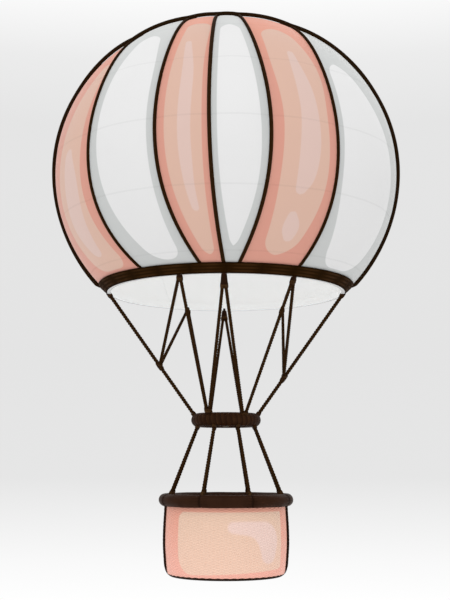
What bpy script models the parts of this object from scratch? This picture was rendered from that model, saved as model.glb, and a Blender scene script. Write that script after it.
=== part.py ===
"""Hot air balloon: a striped envelope, its rigging, load ring with burner, and a round basket.

Metres, +Z up. The origin is the envelope's centre, -Y is the front and azimuths are
measured from the front towards +X. Every piece is an object of its own.
"""

import math
from collections import namedtuple

import bmesh
import bpy
from mathutils import Vector

# Driving dimensions of the envelope
ENVELOPE_RADIUS = 2.428
CROWN_HEIGHT = 2.218
LOWER_HALF_HEIGHT = 2.345
MOUTH_DROP = 1.592
VENT_RADIUS = 0.500
SKIN = 0.010
GORE_ROWS = 14
BULGE_MOST = 0.040
BULGE_HALF_WIDTH = 0.60
SEAM_PULL = 0.0009
BULGE_END_POWER = 0.7
BACK_GORES = 6
BACK_COLUMNS = 4

# Load tapes, each with a round cord sewn in, and crown ring
TAPE_HALF_WIDTH = 0.022
TAPE_THICKNESS = 0.006
TAPE_CORD_RISE = 0.026
TAPE_EASE = 0.0022
CROWN_RING_RADIUS = 0.105
CROWN_RING_TUBE = 0.012
CROWN_RING_POINTS = 8
CROWN_RING_STEPS = 24
CROWN_ROWS = 2

# Vent panel under the crown opening
VENT_LAP = 0.060
VENT_GAP = 0.0016
VENT_FLAT = 0.100
VENT_DOME = 0.016
VENT_SHOULDER_RADIUS = 0.200
VENT_SHOULDER_DROP = 0.004
VENT_STEPS = 36

# Mouth band
BAND_TOP_OUTER = 1.805
BAND_BOTTOM_OUTER = 1.690
BAND_WIDTH = 0.066
BAND_HEIGHT = 0.122
BAND_LIP = 0.010
BAND_STEPS = 40

# Ropes and their sockets
ROPE_RADIUS = 0.019
SOCKET_RADIUS = 0.027
ROPE_SIDES = 8
ROPE_CLEARANCE = 0.002
ANCHOR_SUNK = 0.020
LONGEST_SOCKET = 0.260
BAND_SOCKET = 0.070
TUBE_SOCKET = 0.028
SPLICE_SOCKET = 0.062
SPLICE_RADIUS = 0.030
SPLICE_LENGTH = 0.110
SPLICE_SIDES = 12
RING_ANCHOR_AZIMUTH = 38.0
BASKET_ROPES = 8

# Load ring
RING_HEIGHT = -3.497
RING_RADIUS = 0.391
RING_TUBE = 0.095
RING_STEPS = 36
RING_POINTS = 12

# Basket
BASE_HEIGHT = -5.600
RIM_HEIGHT = -4.578
RIM_RADIUS = 0.843
RIM_TUBE = 0.089
RIM_POINTS = 12
SEAT_SHARE = 0.94
SEAT_EDGE_SHARE = 0.98
WALL_THICKNESS = 0.040
WALL_TOP_RADIUS = 0.814
BASKET_STEPS = 36
FLOOR_THICKNESS = 0.024
FLOOR_CLEARANCE = 0.016
RUNNER_PROUD = 0.006
RUNNER_WIDTH = 0.090
RUNNER_END_INSET = 0.030
RUNNER_OFFSETS = (-0.34, 0.0, 0.34)
SKIRT_BELOW_RIM = 0.020

# Burner, carried on two trunnions inside the load ring
CAN_RADIUS = 0.150
CAN_WALL = 0.007
CAN_HALF_HEIGHT = 0.075
PIN_RADIUS = 0.012
PIN_REACH = 0.276
PIN_BORE = 0.0126
YOKE_INNER = 0.236
YOKE_OUTER = 0.330
YOKE_HALF_WIDTH = 0.032
YOKE_HALF_HEIGHT = 0.040
PIN_SIDES = 24
PIN_END_CLEARANCE = 0.005
BOSS_RADIUS = 0.024
BOSS_LENGTH = 0.030
COIL_RINGS = 4
COIL_HALF_HEIGHT = 0.056
COIL_GROOVE = 0.006
COIL_BORE = 0.118
COIL_LANDS = (0.25, 0.75)
BURNER_STEPS = 24
BASE_PLATE = 0.010
JET_RADIUS = 0.032
JET_HEIGHT = 0.022
VALVE_BLOCK_RADIUS = 0.046
VALVE_BLOCK_HEIGHT = 0.018
INLET_RADIUS = 0.008
INLET_REACH = 0.115

# Fuel cylinders standing at the back of the basket
CYLINDER_RADIUS = 0.140
CYLINDER_HEIGHT = 0.700
CYLINDER_SPREAD = 0.300
CYLINDER_BACK = 0.440
GUARD_RADIUS = 0.085
GUARD_HEIGHT = 0.110
GUARD_WALL = 0.005
VALVE_RADIUS = 0.016
VALVE_HEIGHT = 0.075
DOME_HEIGHT = 0.075
DOME_STEPS = (0.35, 0.65, 0.88, 1.0)
FOOT_RADIUS = 0.120
FOOT_HOLLOW = 0.030
FUEL_STEPS = 20

# Gap between pieces that touch
GAP = 0.0003

# Edges sharper than this stay sharp in shading, in degrees
SMOOTH_ANGLE = 35.0

# Points closer than this are the same anchor
SAME_POINT = 0.000001

# Fractions of the way from the vent's edge to the mouth at which a seam's azimuth is given
SEAM_STATIONS = (0.0, 0.30, 0.60, 1.0)

# From this fraction on, a gore or tape ends in a level cut that meets the mouth band
LEVEL_CUT = 0.999

# The seams from the left side over the front to the right side, each with the gore after it
Seam = namedtuple("Seam", "crown shoulder widest mouth colour columns")
FRONT_SEAMS = (
    Seam(-98.0, -70.0, -79.5, -90.5, "peach", 4),
    Seam(-86.0, -49.7, -46.6, -38.2, "white", 4),
    Seam(-34.0, -21.4, -21.4, -10.8, "peach", 3),
    Seam(-8.5, -5.4, -5.0, -1.0, "white", 3),
    Seam(10.7, 9.7, 13.0, 5.4, "peach", 3),
    Seam(57.2, 36.3, 35.1, 31.8, "white", 5),
    Seam(88.0, 70.0, 79.5, 90.5, "peach", BACK_COLUMNS),
)

# Where ropes leave the front half of the mouth band; the back half is its mirror image
Apex = namedtuple("Apex", "name azimuth")
APEXES = (Apex("left", -20.8), Apex("middle", -0.9), Apex("right", 31.7))

# Where each leg starts and ends
Leg = namedtuple("Leg", "name apex foot")
LEGS = (
    Leg("left_outer", "left", "splice_left"),
    Leg("left_inner", "left", "ring_left"),
    Leg("middle_left", "middle", "ring_left"),
    Leg("middle_right", "middle", "ring_right"),
    Leg("right_inner", "right", "ring_right"),
    Leg("right_outer", "right", "splice_right"),
)

# Splice on each side stay: direction along X and the height of the splice
Stay = namedtuple("Stay", "name side splice_height")
STAYS = (Stay("left", -1, -2.738), Stay("right", 1, -2.907))

# Outer side of the basket wall: radius and height above the base, top to bottom
WallStation = namedtuple("WallStation", "radius above_base")
WALL_STATIONS = (
    WallStation(0.827, 0.640),
    WallStation(0.830, 0.420),
    WallStation(0.815, 0.200),
    WallStation(0.792, 0.050),
    WallStation(0.772, 0.014),
    WallStation(0.752, 0.000),
)

Finish = namedtuple("Finish", "colour roughness metallic")
FINISHES = {
    "peach": Finish((0.71, 0.47, 0.37), 0.6, 0.0),
    "white": Finish((0.78, 0.78, 0.78), 0.6, 0.0),
    "brown": Finish((0.03, 0.012, 0.004), 0.6, 0.0),
    "basket": Finish((0.80, 0.50, 0.39), 0.7, 0.0),
    "timber": Finish((0.42, 0.26, 0.15), 0.6, 0.0),
    "steel": Finish((0.55, 0.55, 0.56), 0.3, 1.0),
    "brass": Finish((0.66, 0.48, 0.22), 0.35, 1.0),
}


def clear_scene():
    for old in list(bpy.data.objects):
        bpy.data.objects.remove(old, do_unlink=True)


def new_collection(name):
    made = bpy.data.collections.new(name)
    bpy.context.scene.collection.children.link(made)
    return made


def make_materials():
    made = {}
    for name, finish in FINISHES.items():
        material = bpy.data.materials.new(name)
        material.use_nodes = True
        shader = material.node_tree.nodes["Principled BSDF"]
        shader.inputs["Base Color"].default_value = (*finish.colour, 1.0)
        shader.inputs["Roughness"].default_value = finish.roughness
        shader.inputs["Metallic"].default_value = finish.metallic
        made[name] = material
    return made


clear_scene()
BALLOON = new_collection("hot_air_balloon")
HELPERS = new_collection("hot_air_balloon_helpers")
MATERIALS = make_materials()


def add_object(name, mesh, finish):
    mesh.materials.append(MATERIALS[finish])
    mesh.shade_smooth()
    mesh.set_sharp_from_angle(angle=math.radians(SMOOTH_ANGLE))
    made = bpy.data.objects.new(name, mesh)
    BALLOON.objects.link(made)
    return made


def as_mesh(name, bm):
    mesh = bpy.data.meshes.new(name)
    bmesh.ops.recalc_face_normals(bm, faces=bm.faces)
    if bm.calc_volume(signed=True) < 0.0:
        bmesh.ops.reverse_faces(bm, faces=bm.faces)
    bm.to_mesh(mesh)
    bm.free()
    return mesh


def polar(radius, azimuth, height):
    """A point at an azimuth in degrees, from the front towards +X."""
    angle = math.radians(azimuth)
    return Vector((radius * math.sin(angle), -radius * math.cos(angle), height))


def screw(made, steps):
    """Turns an object's profile about Z."""
    turn = made.modifiers.new("turn", "SCREW")
    turn.angle = math.tau
    turn.steps = steps
    turn.render_steps = steps
    turn.use_merge_vertices = True
    turn.merge_threshold = 0.0001
    turn.use_smooth_shade = True
    return made


def turned(name, profile, steps, finish, closed=True):
    """A turned piece from its (radius, height) profile, outer side top to bottom."""
    bm = bmesh.new()
    points = [bm.verts.new((radius, 0.0, height)) for radius, height in profile]
    for first, second in zip(points, points[1:]):
        bm.edges.new((first, second))
    if closed:
        bm.edges.new((points[-1], points[0]))
    mesh = bpy.data.meshes.new(name)
    bm.to_mesh(mesh)
    bm.free()
    made = screw(add_object(name, mesh, finish), steps)
    return made


def cylinder_mesh(name, start, end, radius, sides):
    """A closed cylinder between two points."""
    bm = bmesh.new()
    length = (end - start).length
    bmesh.ops.create_cone(
        bm, cap_ends=True, segments=sides, radius1=radius, radius2=radius, depth=length
    )
    turn = (end - start).to_track_quat("Z", "Y").to_matrix().to_4x4()
    turn.translation = (start + end) / 2
    bmesh.ops.transform(bm, matrix=turn, verts=bm.verts)
    return as_mesh(name, bm)


def rod(name, start, end, radius, finish, sides=ROPE_SIDES):
    return add_object(name, cylinder_mesh(name, start, end, radius, sides), finish)


def box_mesh(name, low, high):
    bm = bmesh.new()
    bmesh.ops.create_cube(bm, size=1.0)
    for vertex in bm.verts:
        for axis in range(3):
            share = vertex.co[axis] + 0.5
            vertex.co[axis] = low[axis] + (high[axis] - low[axis]) * share
    return as_mesh(name, bm)


def helper(mesh, piece):
    """A hidden object for a Boolean, carried by the piece that it shapes."""
    made = bpy.data.objects.new(mesh.name, mesh)
    HELPERS.objects.link(made)
    made.hide_render = True
    made.display_type = "WIRE"
    made.parent = piece
    return made


def combine(piece, meshes, operation="UNION"):
    """Joins or cuts helper meshes with one Boolean each."""
    for mesh in meshes:
        step = piece.modifiers.new(mesh.name, "BOOLEAN")
        step.operation = operation
        step.solver = "EXACT"
        step.object = helper(mesh, piece)
    return piece


# Envelope

VENT_COLATITUDE = math.asin(VENT_RADIUS / ENVELOPE_RADIUS)
MOUTH_COLATITUDE = math.acos(-MOUTH_DROP / LOWER_HALF_HEIGHT)


def half_height(colatitude):
    return CROWN_HEIGHT if colatitude < math.pi / 2 else LOWER_HALF_HEIGHT


def meridian(colatitude):
    """Radius and height of the envelope's outer skin."""
    height = half_height(colatitude) * math.cos(colatitude)
    return ENVELOPE_RADIUS * math.sin(colatitude), height


def meridian_normal(colatitude):
    """Radial and upward parts of the skin's outward normal."""
    radial = half_height(colatitude) * math.sin(colatitude)
    upward = ENVELOPE_RADIUS * math.cos(colatitude)
    length = math.hypot(radial, upward)
    return radial / length, upward / length


def colatitude_at(share):
    """Colatitude a share of the way from the vent's edge to the mouth."""
    return VENT_COLATITUDE + (MOUTH_COLATITUDE - VENT_COLATITUDE) * share


def seam_between(start, end, share, colour):
    """A seam a share of the way from one seam to another, at each station."""
    places = [one + (other - one) * share for one, other in zip(start[:4], end[:4])]
    return Seam(*places, colour, BACK_COLUMNS)


def closing_seam():
    """The first seam again, counted on past a full turn."""
    first = FRONT_SEAMS[0]
    return first._replace(
        crown=first.crown + 360.0,
        shoulder=first.shoulder + 360.0,
        widest=first.widest + 360.0,
        mouth=first.mouth + 360.0,
    )


def all_seams():
    """The seams once round, with the back ones spaced evenly between the two side seams."""
    right = FRONT_SEAMS[-1]
    seams = list(FRONT_SEAMS)
    for number in range(1, BACK_GORES):
        colour = "white" if number % 2 else "peach"
        seams.append(seam_between(right, closing_seam(), number / BACK_GORES, colour))
    return seams


def seam_azimuth(seam, share):
    """The seam's azimuth in degrees: one cubic through its four stations."""
    azimuths = (seam.crown, seam.shoulder, seam.widest, seam.mouth)
    total = 0.0
    for here, azimuth in zip(SEAM_STATIONS, azimuths):
        weight = 1.0
        for other in SEAM_STATIONS:
            if other != here:
                weight *= (share - other) / (here - other)
        total += azimuth * weight
    return total


def gore_spans():
    """Each gore's two seams."""
    seams = all_seams()
    return list(zip(seams, seams[1:] + [closing_seam()]))


def bulge(width, across, share):
    """How far a gore stands out between its seams, and nothing at crown and mouth."""
    most = BULGE_MOST * width / (width + BULGE_HALF_WIDTH)
    ends = math.sin(math.pi * share) ** BULGE_END_POWER
    return most * ends * 4.0 * across * (1.0 - across)


def gore_point(left, right, across, share, depth):
    """A point of a gore, depth metres inside its outer skin."""
    colatitude = colatitude_at(share)
    radius, height = meridian(colatitude)
    radial, upward = meridian_normal(colatitude)
    pull = math.degrees(SEAM_PULL / radius)
    start = seam_azimuth(left, share) + pull
    end = seam_azimuth(right, share) - pull
    width = math.radians(end - start) * radius
    out = bulge(width, across, share)
    azimuth = start + (end - start) * across
    if share > LEVEL_CUT:
        return polar(radius - depth / radial, azimuth, height)
    offset = out - depth
    return polar(radius + offset * radial, azimuth, height + offset * upward)


def sheet_mesh(name, columns, rows, outer, inner):
    """A solid sheet: a grid laid on outer(u, v), with its back on inner(u, v)."""
    bm = bmesh.new()
    bmesh.ops.create_grid(bm, x_segments=columns, y_segments=rows, size=0.5)
    front = list(bm.verts)
    made = bmesh.ops.extrude_face_region(bm, geom=list(bm.faces))
    back = [item for item in made["geom"] if isinstance(item, bmesh.types.BMVert)]
    for vertices, place in ((front, outer), (back, inner)):
        for vertex in vertices:
            vertex.co = place(vertex.co.x + 0.5, vertex.co.y + 0.5)
    return as_mesh(name, bm)


def build_gores():
    for number, (left, right) in enumerate(gore_spans(), 1):
        name = f"gore_{number:02d}_{left.colour}"
        mesh = sheet_mesh(
            name,
            left.columns,
            GORE_ROWS,
            lambda u, v, a=left, b=right: gore_point(a, b, u, v, 0.0),
            lambda u, v, a=left, b=right: gore_point(a, b, u, v, SKIN),
        )
        add_object(name, mesh, left.colour)


def tape_lift(neighbours, share):
    """Height of a tape's underside above its seam, clear of the gores on both sides."""
    steepest = 0.0
    for left, right, from_left in neighbours:
        edge = 0.0 if from_left else 1.0
        beside = 1.0 / left.columns if from_left else 1.0 - 1.0 / left.columns
        for row in (share - 1.0 / GORE_ROWS, share, share + 1.0 / GORE_ROWS):
            row = min(max(row, 0.0), 1.0)
            seam_point = gore_point(left, right, edge, row, 0.0)
            across = gore_point(left, right, beside, row, 0.0) - seam_point
            radial, upward = meridian_normal(colatitude_at(row))
            azimuth = seam_azimuth(left if from_left else right, row)
            normal = polar(radial, azimuth, upward)
            rise = across.dot(normal)
            steepest = max(steepest, rise / (across - normal * rise).length)
    return steepest * TAPE_HALF_WIDTH + TAPE_EASE


def tape_point(seam, neighbours, across, share, height):
    """A point of a load tape, across from -1 to 1 over its width and share below 0 over the vent."""
    on_gore = max(share, 0.0)
    colatitude = colatitude_at(share)
    radius, level = meridian(colatitude)
    radial, upward = meridian_normal(colatitude)
    azimuth = seam_azimuth(seam, on_gore)
    lift = height + tape_lift(neighbours, on_gore)
    if share > LEVEL_CUT:
        spot = polar(radius + lift / radial, azimuth, level)
    else:
        spot = polar(radius + lift * radial, azimuth, level + lift * upward)
    return spot + polar(1.0, azimuth + 90.0, 0.0) * (across * TAPE_HALF_WIDTH)


def tape_top(across, share):
    """Height of a tape's top above its underside: a ridge over the cord, flat over the vent."""
    cord = TAPE_CORD_RISE * (1.0 - abs(across)) if share > 0.0 else 0.0
    return TAPE_THICKNESS + cord


def build_load_tapes():
    """Twelve tapes over the seams, joined at the crown ring over the vent opening."""
    ring_colatitude = math.asin(CROWN_RING_RADIUS / ENVELOPE_RADIUS)
    ring_height = meridian(ring_colatitude)[1] + TAPE_THICKNESS / 2
    ring = circle(CROWN_RING_RADIUS, ring_height, CROWN_RING_TUBE, CROWN_RING_POINTS)
    web = turned("load_tapes", ring, CROWN_RING_STEPS, "brown")
    ring_share = (ring_colatitude - VENT_COLATITUDE) / (MOUTH_COLATITUDE - VENT_COLATITUDE)
    rows = GORE_ROWS + CROWN_ROWS

    def share_at(v):
        row = round(v * rows) - CROWN_ROWS
        return row / GORE_ROWS if row >= 0 else -ring_share * row / CROWN_ROWS

    def upper(u, v, seam, sides):
        across = u * 2.0 - 1.0
        share = share_at(v)
        return tape_point(seam, sides, across, share, tape_top(across, share))

    def under(u, v, seam, sides):
        return tape_point(seam, sides, u * 2.0 - 1.0, share_at(v), 0.0)

    strips = []
    spans = gore_spans()
    for number, seam in enumerate(all_seams()):
        sides = ((*spans[number - 1], False), (*spans[number], True))
        strips.append(
            sheet_mesh(
                f"tape_{number + 1:02d}",
                2,
                rows,
                lambda u, v, a=seam, b=sides: upper(u, v, a, b),
                lambda u, v, a=seam, b=sides: under(u, v, a, b),
            )
        )
    return combine(web, strips)


def circle(radius, height, tube, points):
    """A round section, outer side top to bottom."""
    section = []
    for index in range(points):
        angle = math.pi / 2 - math.tau * index / points
        section.append((radius + tube * math.cos(angle), height + tube * math.sin(angle)))
    return section


def build_vent_panel():
    """The disc that closes the crown opening from below."""
    rim = VENT_RADIUS + VENT_LAP
    first_row = colatitude_at(1.0 / GORE_ROWS)
    edge = meridian(VENT_COLATITUDE)
    below = meridian(first_row)
    slope = (below[1] - edge[1]) / (below[0] - edge[0])
    steep = math.hypot(1.0, slope)
    drop = (SKIN + VENT_GAP) * steep

    def top(radius):
        return edge[1] + slope * (radius - edge[0]) - drop

    inner = VENT_RADIUS - VENT_FLAT
    dome = top(inner) + VENT_DOME
    upper = [
        (0.0, dome),
        (VENT_SHOULDER_RADIUS, dome - VENT_SHOULDER_DROP),
        (inner, top(inner)),
        (rim, top(rim)),
    ]
    lower = [(radius, height - SKIN) for radius, height in reversed(upper)]
    return turned("vent_panel", upper + lower, VENT_STEPS, "white", closed=False)


# Mouth band, load ring and rim

BAND_TOP = -MOUTH_DROP - GAP
BAND_BOTTOM = BAND_TOP - BAND_HEIGHT


def build_mouth_band(sockets):
    profile = (
        (BAND_TOP_OUTER - BAND_LIP, BAND_TOP),
        (BAND_TOP_OUTER, BAND_TOP - BAND_LIP),
        (BAND_BOTTOM_OUTER + BAND_LIP / 2, BAND_BOTTOM + BAND_LIP),
        (BAND_BOTTOM_OUTER - BAND_LIP, BAND_BOTTOM),
        (BAND_BOTTOM_OUTER - BAND_WIDTH, BAND_BOTTOM),
        (BAND_TOP_OUTER - BAND_WIDTH, BAND_TOP),
    )
    band = turned("mouth_band", profile, BAND_STEPS, "brown")
    return combine(band, sockets)


def build_load_ring(sockets):
    ring = turned(
        "load_ring", circle(RING_RADIUS, RING_HEIGHT, RING_TUBE, RING_POINTS), RING_STEPS, "brown"
    )
    yokes = []
    bores = []
    for side in (-1, 1):
        low = Vector((side * YOKE_INNER, -YOKE_HALF_WIDTH, RING_HEIGHT - YOKE_HALF_HEIGHT))
        high = Vector((side * YOKE_OUTER, YOKE_HALF_WIDTH, RING_HEIGHT + YOKE_HALF_HEIGHT))
        low.x, high.x = sorted((low.x, high.x))
        yokes.append(box_mesh(f"yoke_{side}", low, high))
        start = Vector((side * (YOKE_INNER - BOSS_LENGTH), 0.0, RING_HEIGHT))
        end = Vector((side * (PIN_REACH + PIN_END_CLEARANCE), 0.0, RING_HEIGHT))
        bores.append(cylinder_mesh(f"bore_{side}", start, end, PIN_BORE, PIN_SIDES))
    combine(ring, yokes + sockets)
    return combine(ring, bores, "DIFFERENCE")


SEAT_OUTER = WALL_TOP_RADIUS + GAP
SEAT_INNER = WALL_TOP_RADIUS - WALL_THICKNESS - GAP


def rim_depth(radius):
    """How far the rim's round underside lies below its centre."""
    return math.sqrt(RIM_TUBE**2 - (RIM_RADIUS - radius) ** 2)


SEAT_HEIGHT = RIM_HEIGHT - rim_depth(SEAT_INNER) * SEAT_SHARE


def build_basket_rim(sockets):
    """A round padded rim with a rebate underneath for the wall's top."""
    section = circle(RIM_RADIUS, RIM_HEIGHT, RIM_TUBE, RIM_POINTS)
    half = RIM_POINTS // 2 + 1
    outside = section[:half]
    inside = [spot for spot in section[half:] if spot[0] <= SEAT_INNER or spot[1] > RIM_HEIGHT]
    seat = [
        (SEAT_OUTER, RIM_HEIGHT - rim_depth(SEAT_OUTER) * SEAT_EDGE_SHARE),
        (SEAT_OUTER, SEAT_HEIGHT),
        (SEAT_INNER, SEAT_HEIGHT),
    ]
    rim = turned("basket_rim", outside + seat + inside, BASKET_STEPS, "brown")
    return combine(rim, sockets)


def build_basket():
    top = SEAT_HEIGHT - GAP
    outer = [(WALL_TOP_RADIUS, top), (WALL_TOP_RADIUS, RIM_HEIGHT - RIM_TUBE - SKIRT_BELOW_RIM)]
    outer += [(radius, BASE_HEIGHT + above) for radius, above in WALL_STATIONS]
    inner = [(radius - WALL_THICKNESS, height) for radius, height in outer[:-2]]
    floor_radius = inner[-1][0]
    inner.append((floor_radius, BASE_HEIGHT))
    turned("basket_wall", outer + inner[::-1], BASKET_STEPS, "basket")
    floor_low = BASE_HEIGHT + FLOOR_CLEARANCE
    floor_high = floor_low + FLOOR_THICKNESS
    disc = floor_radius - GAP * 2
    floor_profile = [(0.0, floor_high), (disc, floor_high), (disc, floor_low), (0.0, floor_low)]
    turned("basket_floor", floor_profile, BASKET_STEPS, "timber", closed=False)
    for number, offset in enumerate(RUNNER_OFFSETS, 1):
        reach = math.sqrt((disc - RUNNER_END_INSET) ** 2 - offset**2)
        low = (-reach, offset - RUNNER_WIDTH / 2, BASE_HEIGHT - RUNNER_PROUD)
        high = (reach, offset + RUNNER_WIDTH / 2, floor_low - GAP)
        add_object(f"runner_{number}", box_mesh(f"runner_{number}", low, high), "timber")
    return floor_high


# Ropes

Rope = namedtuple("Rope", "name top foot top_place foot_place top_least foot_least")


def band_anchor(azimuth, front):
    """A point inside the band's lower edge; front is 1, or -1 for the mirrored back."""
    flare = (BAND_TOP_OUTER - BAND_BOTTOM_OUTER) / BAND_HEIGHT
    radius = BAND_BOTTOM_OUTER - BAND_WIDTH / 2 + ANCHOR_SUNK * flare
    spot = polar(radius, azimuth, BAND_BOTTOM + ANCHOR_SUNK)
    spot.y *= front
    return spot


def ring_anchor(azimuth):
    return polar(RING_RADIUS, azimuth, RING_HEIGHT)


def splice_point(stay):
    top = band_anchor(90.0 * stay.side, 1)
    foot = ring_anchor(90.0 * stay.side)
    share = (stay.splice_height - top.z) / (foot.z - top.z)
    return top.lerp(foot, share)


def list_ropes():
    """Every rope with its two anchors and the least length of its sockets."""
    ring_least = RING_TUBE + TUBE_SOCKET
    ropes = []
    for stay in STAYS:
        azimuth = 90.0 * stay.side
        ropes.append(
            Rope(
                f"stay_{stay.name}",
                band_anchor(azimuth, 1),
                ring_anchor(azimuth),
                "mouth_band",
                "load_ring",
                BAND_SOCKET,
                ring_least,
            )
        )
    apexes = {apex.name: apex.azimuth for apex in APEXES}
    splices = {f"splice_{stay.name}": splice_point(stay) for stay in STAYS}
    for half, front in (("front", 1), ("back", -1)):
        for leg in LEGS:
            top = band_anchor(apexes[leg.apex], front)
            if leg.foot in splices:
                foot = splices[leg.foot]
                place = leg.foot.replace("splice", "stay")
                least = SPLICE_SOCKET
            else:
                side = -1 if leg.foot == "ring_left" else 1
                foot = ring_anchor(RING_ANCHOR_AZIMUTH * side)
                foot.y *= front
                place = "load_ring"
                least = ring_least
            name = f"leg_{half}_{leg.name}"
            ropes.append(Rope(name, top, foot, "mouth_band", place, BAND_SOCKET, least))
    for number in range(BASKET_ROPES):
        azimuth = 360.0 / BASKET_ROPES * (number + 0.5)
        ropes.append(
            Rope(
                f"basket_rope_{number + 1}",
                ring_anchor(azimuth),
                polar(RIM_RADIUS, azimuth, RIM_HEIGHT),
                "load_ring",
                "basket_rim",
                ring_least,
                RIM_TUBE + TUBE_SOCKET,
            )
        )
    return ropes


def socket_length(rope, anchor, least, ropes):
    """Long enough that two ropes from one anchor are clear of each other."""
    own = rope.foot - rope.top if anchor == rope.top else rope.top - rope.foot
    longest = least
    for other in ropes:
        if other is rope:
            continue
        for start, end in ((other.top, other.foot), (other.foot, other.top)):
            if (start - anchor).length < SAME_POINT:
                half = own.angle(end - start) / 2.0
                apart = (ROPE_RADIUS + SOCKET_RADIUS + ROPE_CLEARANCE) / (2.0 * math.sin(half))
                longest = max(longest, min(apart, LONGEST_SOCKET))
    return longest


def build_ropes():
    """Makes the ropes, and gives back the sockets that each carrier gets."""
    ropes = list_ropes()
    sockets = {"mouth_band": [], "load_ring": [], "basket_rim": []}
    stays = {}
    for rope in ropes:
        along = (rope.foot - rope.top).normalized()
        top_length = socket_length(rope, rope.top, rope.top_least, ropes)
        foot_length = socket_length(rope, rope.foot, rope.foot_least, ropes)
        start = rope.top + along * (top_length + GAP)
        end = rope.foot - along * (foot_length + GAP)
        made = rod(rope.name, start, end, ROPE_RADIUS, "brown")
        if rope.name.startswith("stay"):
            stays[rope.name] = made
            sockets[rope.name] = []
        ends = (
            (rope.top_place, rope.top, rope.top + along * top_length, "top"),
            (rope.foot_place, rope.foot, rope.foot - along * foot_length, "foot"),
        )
        for place, anchor, tip, label in ends:
            name = f"socket_{label}_{rope.name}"
            mesh = cylinder_mesh(name, anchor, tip, SOCKET_RADIUS, ROPE_SIDES)
            sockets[place].append(mesh)
    for stay in STAYS:
        name = f"stay_{stay.name}"
        centre = splice_point(stay)
        along = (ring_anchor(90.0 * stay.side) - centre).normalized() * (SPLICE_LENGTH / 2)
        collar = cylinder_mesh(
            f"collar_{stay.name}", centre - along, centre + along, SPLICE_RADIUS, SPLICE_SIDES
        )
        combine(stays[name], [collar] + sockets.pop(name))
    return sockets


# Burner

def build_burner():
    """Can with trunnions, ribbed coil and base, carried by an empty on the trunnions' axis."""
    axle = bpy.data.objects.new("burner_axle", None)
    axle.location = (0.0, 0.0, RING_HEIGHT)
    BALLOON.objects.link(axle)

    inner = CAN_RADIUS - CAN_WALL
    can_profile = (
        (CAN_RADIUS, CAN_HALF_HEIGHT),
        (CAN_RADIUS, -CAN_HALF_HEIGHT),
        (inner, -CAN_HALF_HEIGHT),
        (inner, CAN_HALF_HEIGHT),
    )
    can = turned("burner_can", can_profile, BURNER_STEPS, "steel")
    pins = []
    for side in (-1, 1):
        start = Vector((side * (CAN_RADIUS - CAN_WALL / 2), 0.0, 0.0))
        boss = Vector((side * (CAN_RADIUS + BOSS_LENGTH), 0.0, 0.0))
        end = Vector((side * PIN_REACH, 0.0, 0.0))
        pins.append(cylinder_mesh(f"boss_{side}", start, boss, BOSS_RADIUS, PIN_SIDES))
        pins.append(cylinder_mesh(f"pin_{side}", start, end, PIN_RADIUS, PIN_SIDES))
    combine(can, pins)

    fitted = inner - GAP * 2
    pitch = 2.0 * COIL_HALF_HEIGHT / COIL_RINGS
    ribs = []
    for number in range(COIL_RINGS):
        top = COIL_HALF_HEIGHT - pitch * number
        ribs.append((fitted - COIL_GROOVE, top))
        ribs += [(fitted, top - land * pitch) for land in COIL_LANDS]
    ribs.append((fitted - COIL_GROOVE, -COIL_HALF_HEIGHT))
    bore = [(COIL_BORE, -COIL_HALF_HEIGHT), (COIL_BORE, COIL_HALF_HEIGHT)]
    coil = turned("burner_coil", ribs + bore, BURNER_STEPS, "steel")

    low = -CAN_HALF_HEIGHT
    plate_high = low + BASE_PLATE
    base_profile = [
        (0.0, plate_high + JET_HEIGHT),
        (JET_RADIUS, plate_high + JET_HEIGHT),
        (JET_RADIUS, plate_high),
        (fitted, plate_high),
        (fitted, low),
        (VALVE_BLOCK_RADIUS, low),
        (VALVE_BLOCK_RADIUS, low - VALVE_BLOCK_HEIGHT),
        (0.0, low - VALVE_BLOCK_HEIGHT),
    ]
    base = turned("burner_base", base_profile, BURNER_STEPS, "brass", closed=False)
    inlet_level = low - VALVE_BLOCK_HEIGHT / 2
    inlet = cylinder_mesh(
        "burner_inlet",
        Vector((0.0, VALVE_BLOCK_RADIUS / 2, inlet_level)),
        Vector((0.0, INLET_REACH, inlet_level)),
        INLET_RADIUS,
        PIN_SIDES // 2,
    )
    combine(base, [inlet])
    for piece in (can, coil, base):
        piece.parent = axle


# Fuel cylinders

def build_fuel(floor_high):
    """Two cylinders on foot rings, each with a collar round its valve."""
    stand = floor_high + GAP
    shoulder = stand + CYLINDER_HEIGHT
    seat = shoulder + GAP
    body = [(0.0, shoulder)]
    for step in DOME_STEPS:
        angle = step * math.pi / 2
        drop = DOME_HEIGHT * (1.0 - math.cos(angle))
        body.append((CYLINDER_RADIUS * math.sin(angle), shoulder - drop))
    body += [
        (CYLINDER_RADIUS, stand + DOME_HEIGHT),
        (FOOT_RADIUS, stand + DOME_HEIGHT / 2),
        (FOOT_RADIUS, stand),
        (FOOT_RADIUS - GUARD_WALL, stand),
        (FOOT_RADIUS - GUARD_WALL, stand + FOOT_HOLLOW),
        (0.0, stand + FOOT_HOLLOW),
    ]
    guard = [
        (0.0, seat + VALVE_HEIGHT),
        (VALVE_RADIUS, seat + VALVE_HEIGHT),
        (VALVE_RADIUS, seat + GUARD_WALL),
        (GUARD_RADIUS - GUARD_WALL, seat + GUARD_WALL),
        (GUARD_RADIUS - GUARD_WALL, seat + GUARD_HEIGHT),
        (GUARD_RADIUS, seat + GUARD_HEIGHT),
        (GUARD_RADIUS, seat),
        (0.0, seat),
    ]
    for name, side in (("left", -1), ("right", 1)):
        place = Vector((side * CYLINDER_SPREAD, CYLINDER_BACK, 0.0))
        cylinder = turned(f"fuel_cylinder_{name}", body, FUEL_STEPS, "steel", closed=False)
        collar = turned(f"valve_collar_{name}", guard, FUEL_STEPS, "brass", closed=False)
        cylinder.location = place
        collar.location = place


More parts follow.
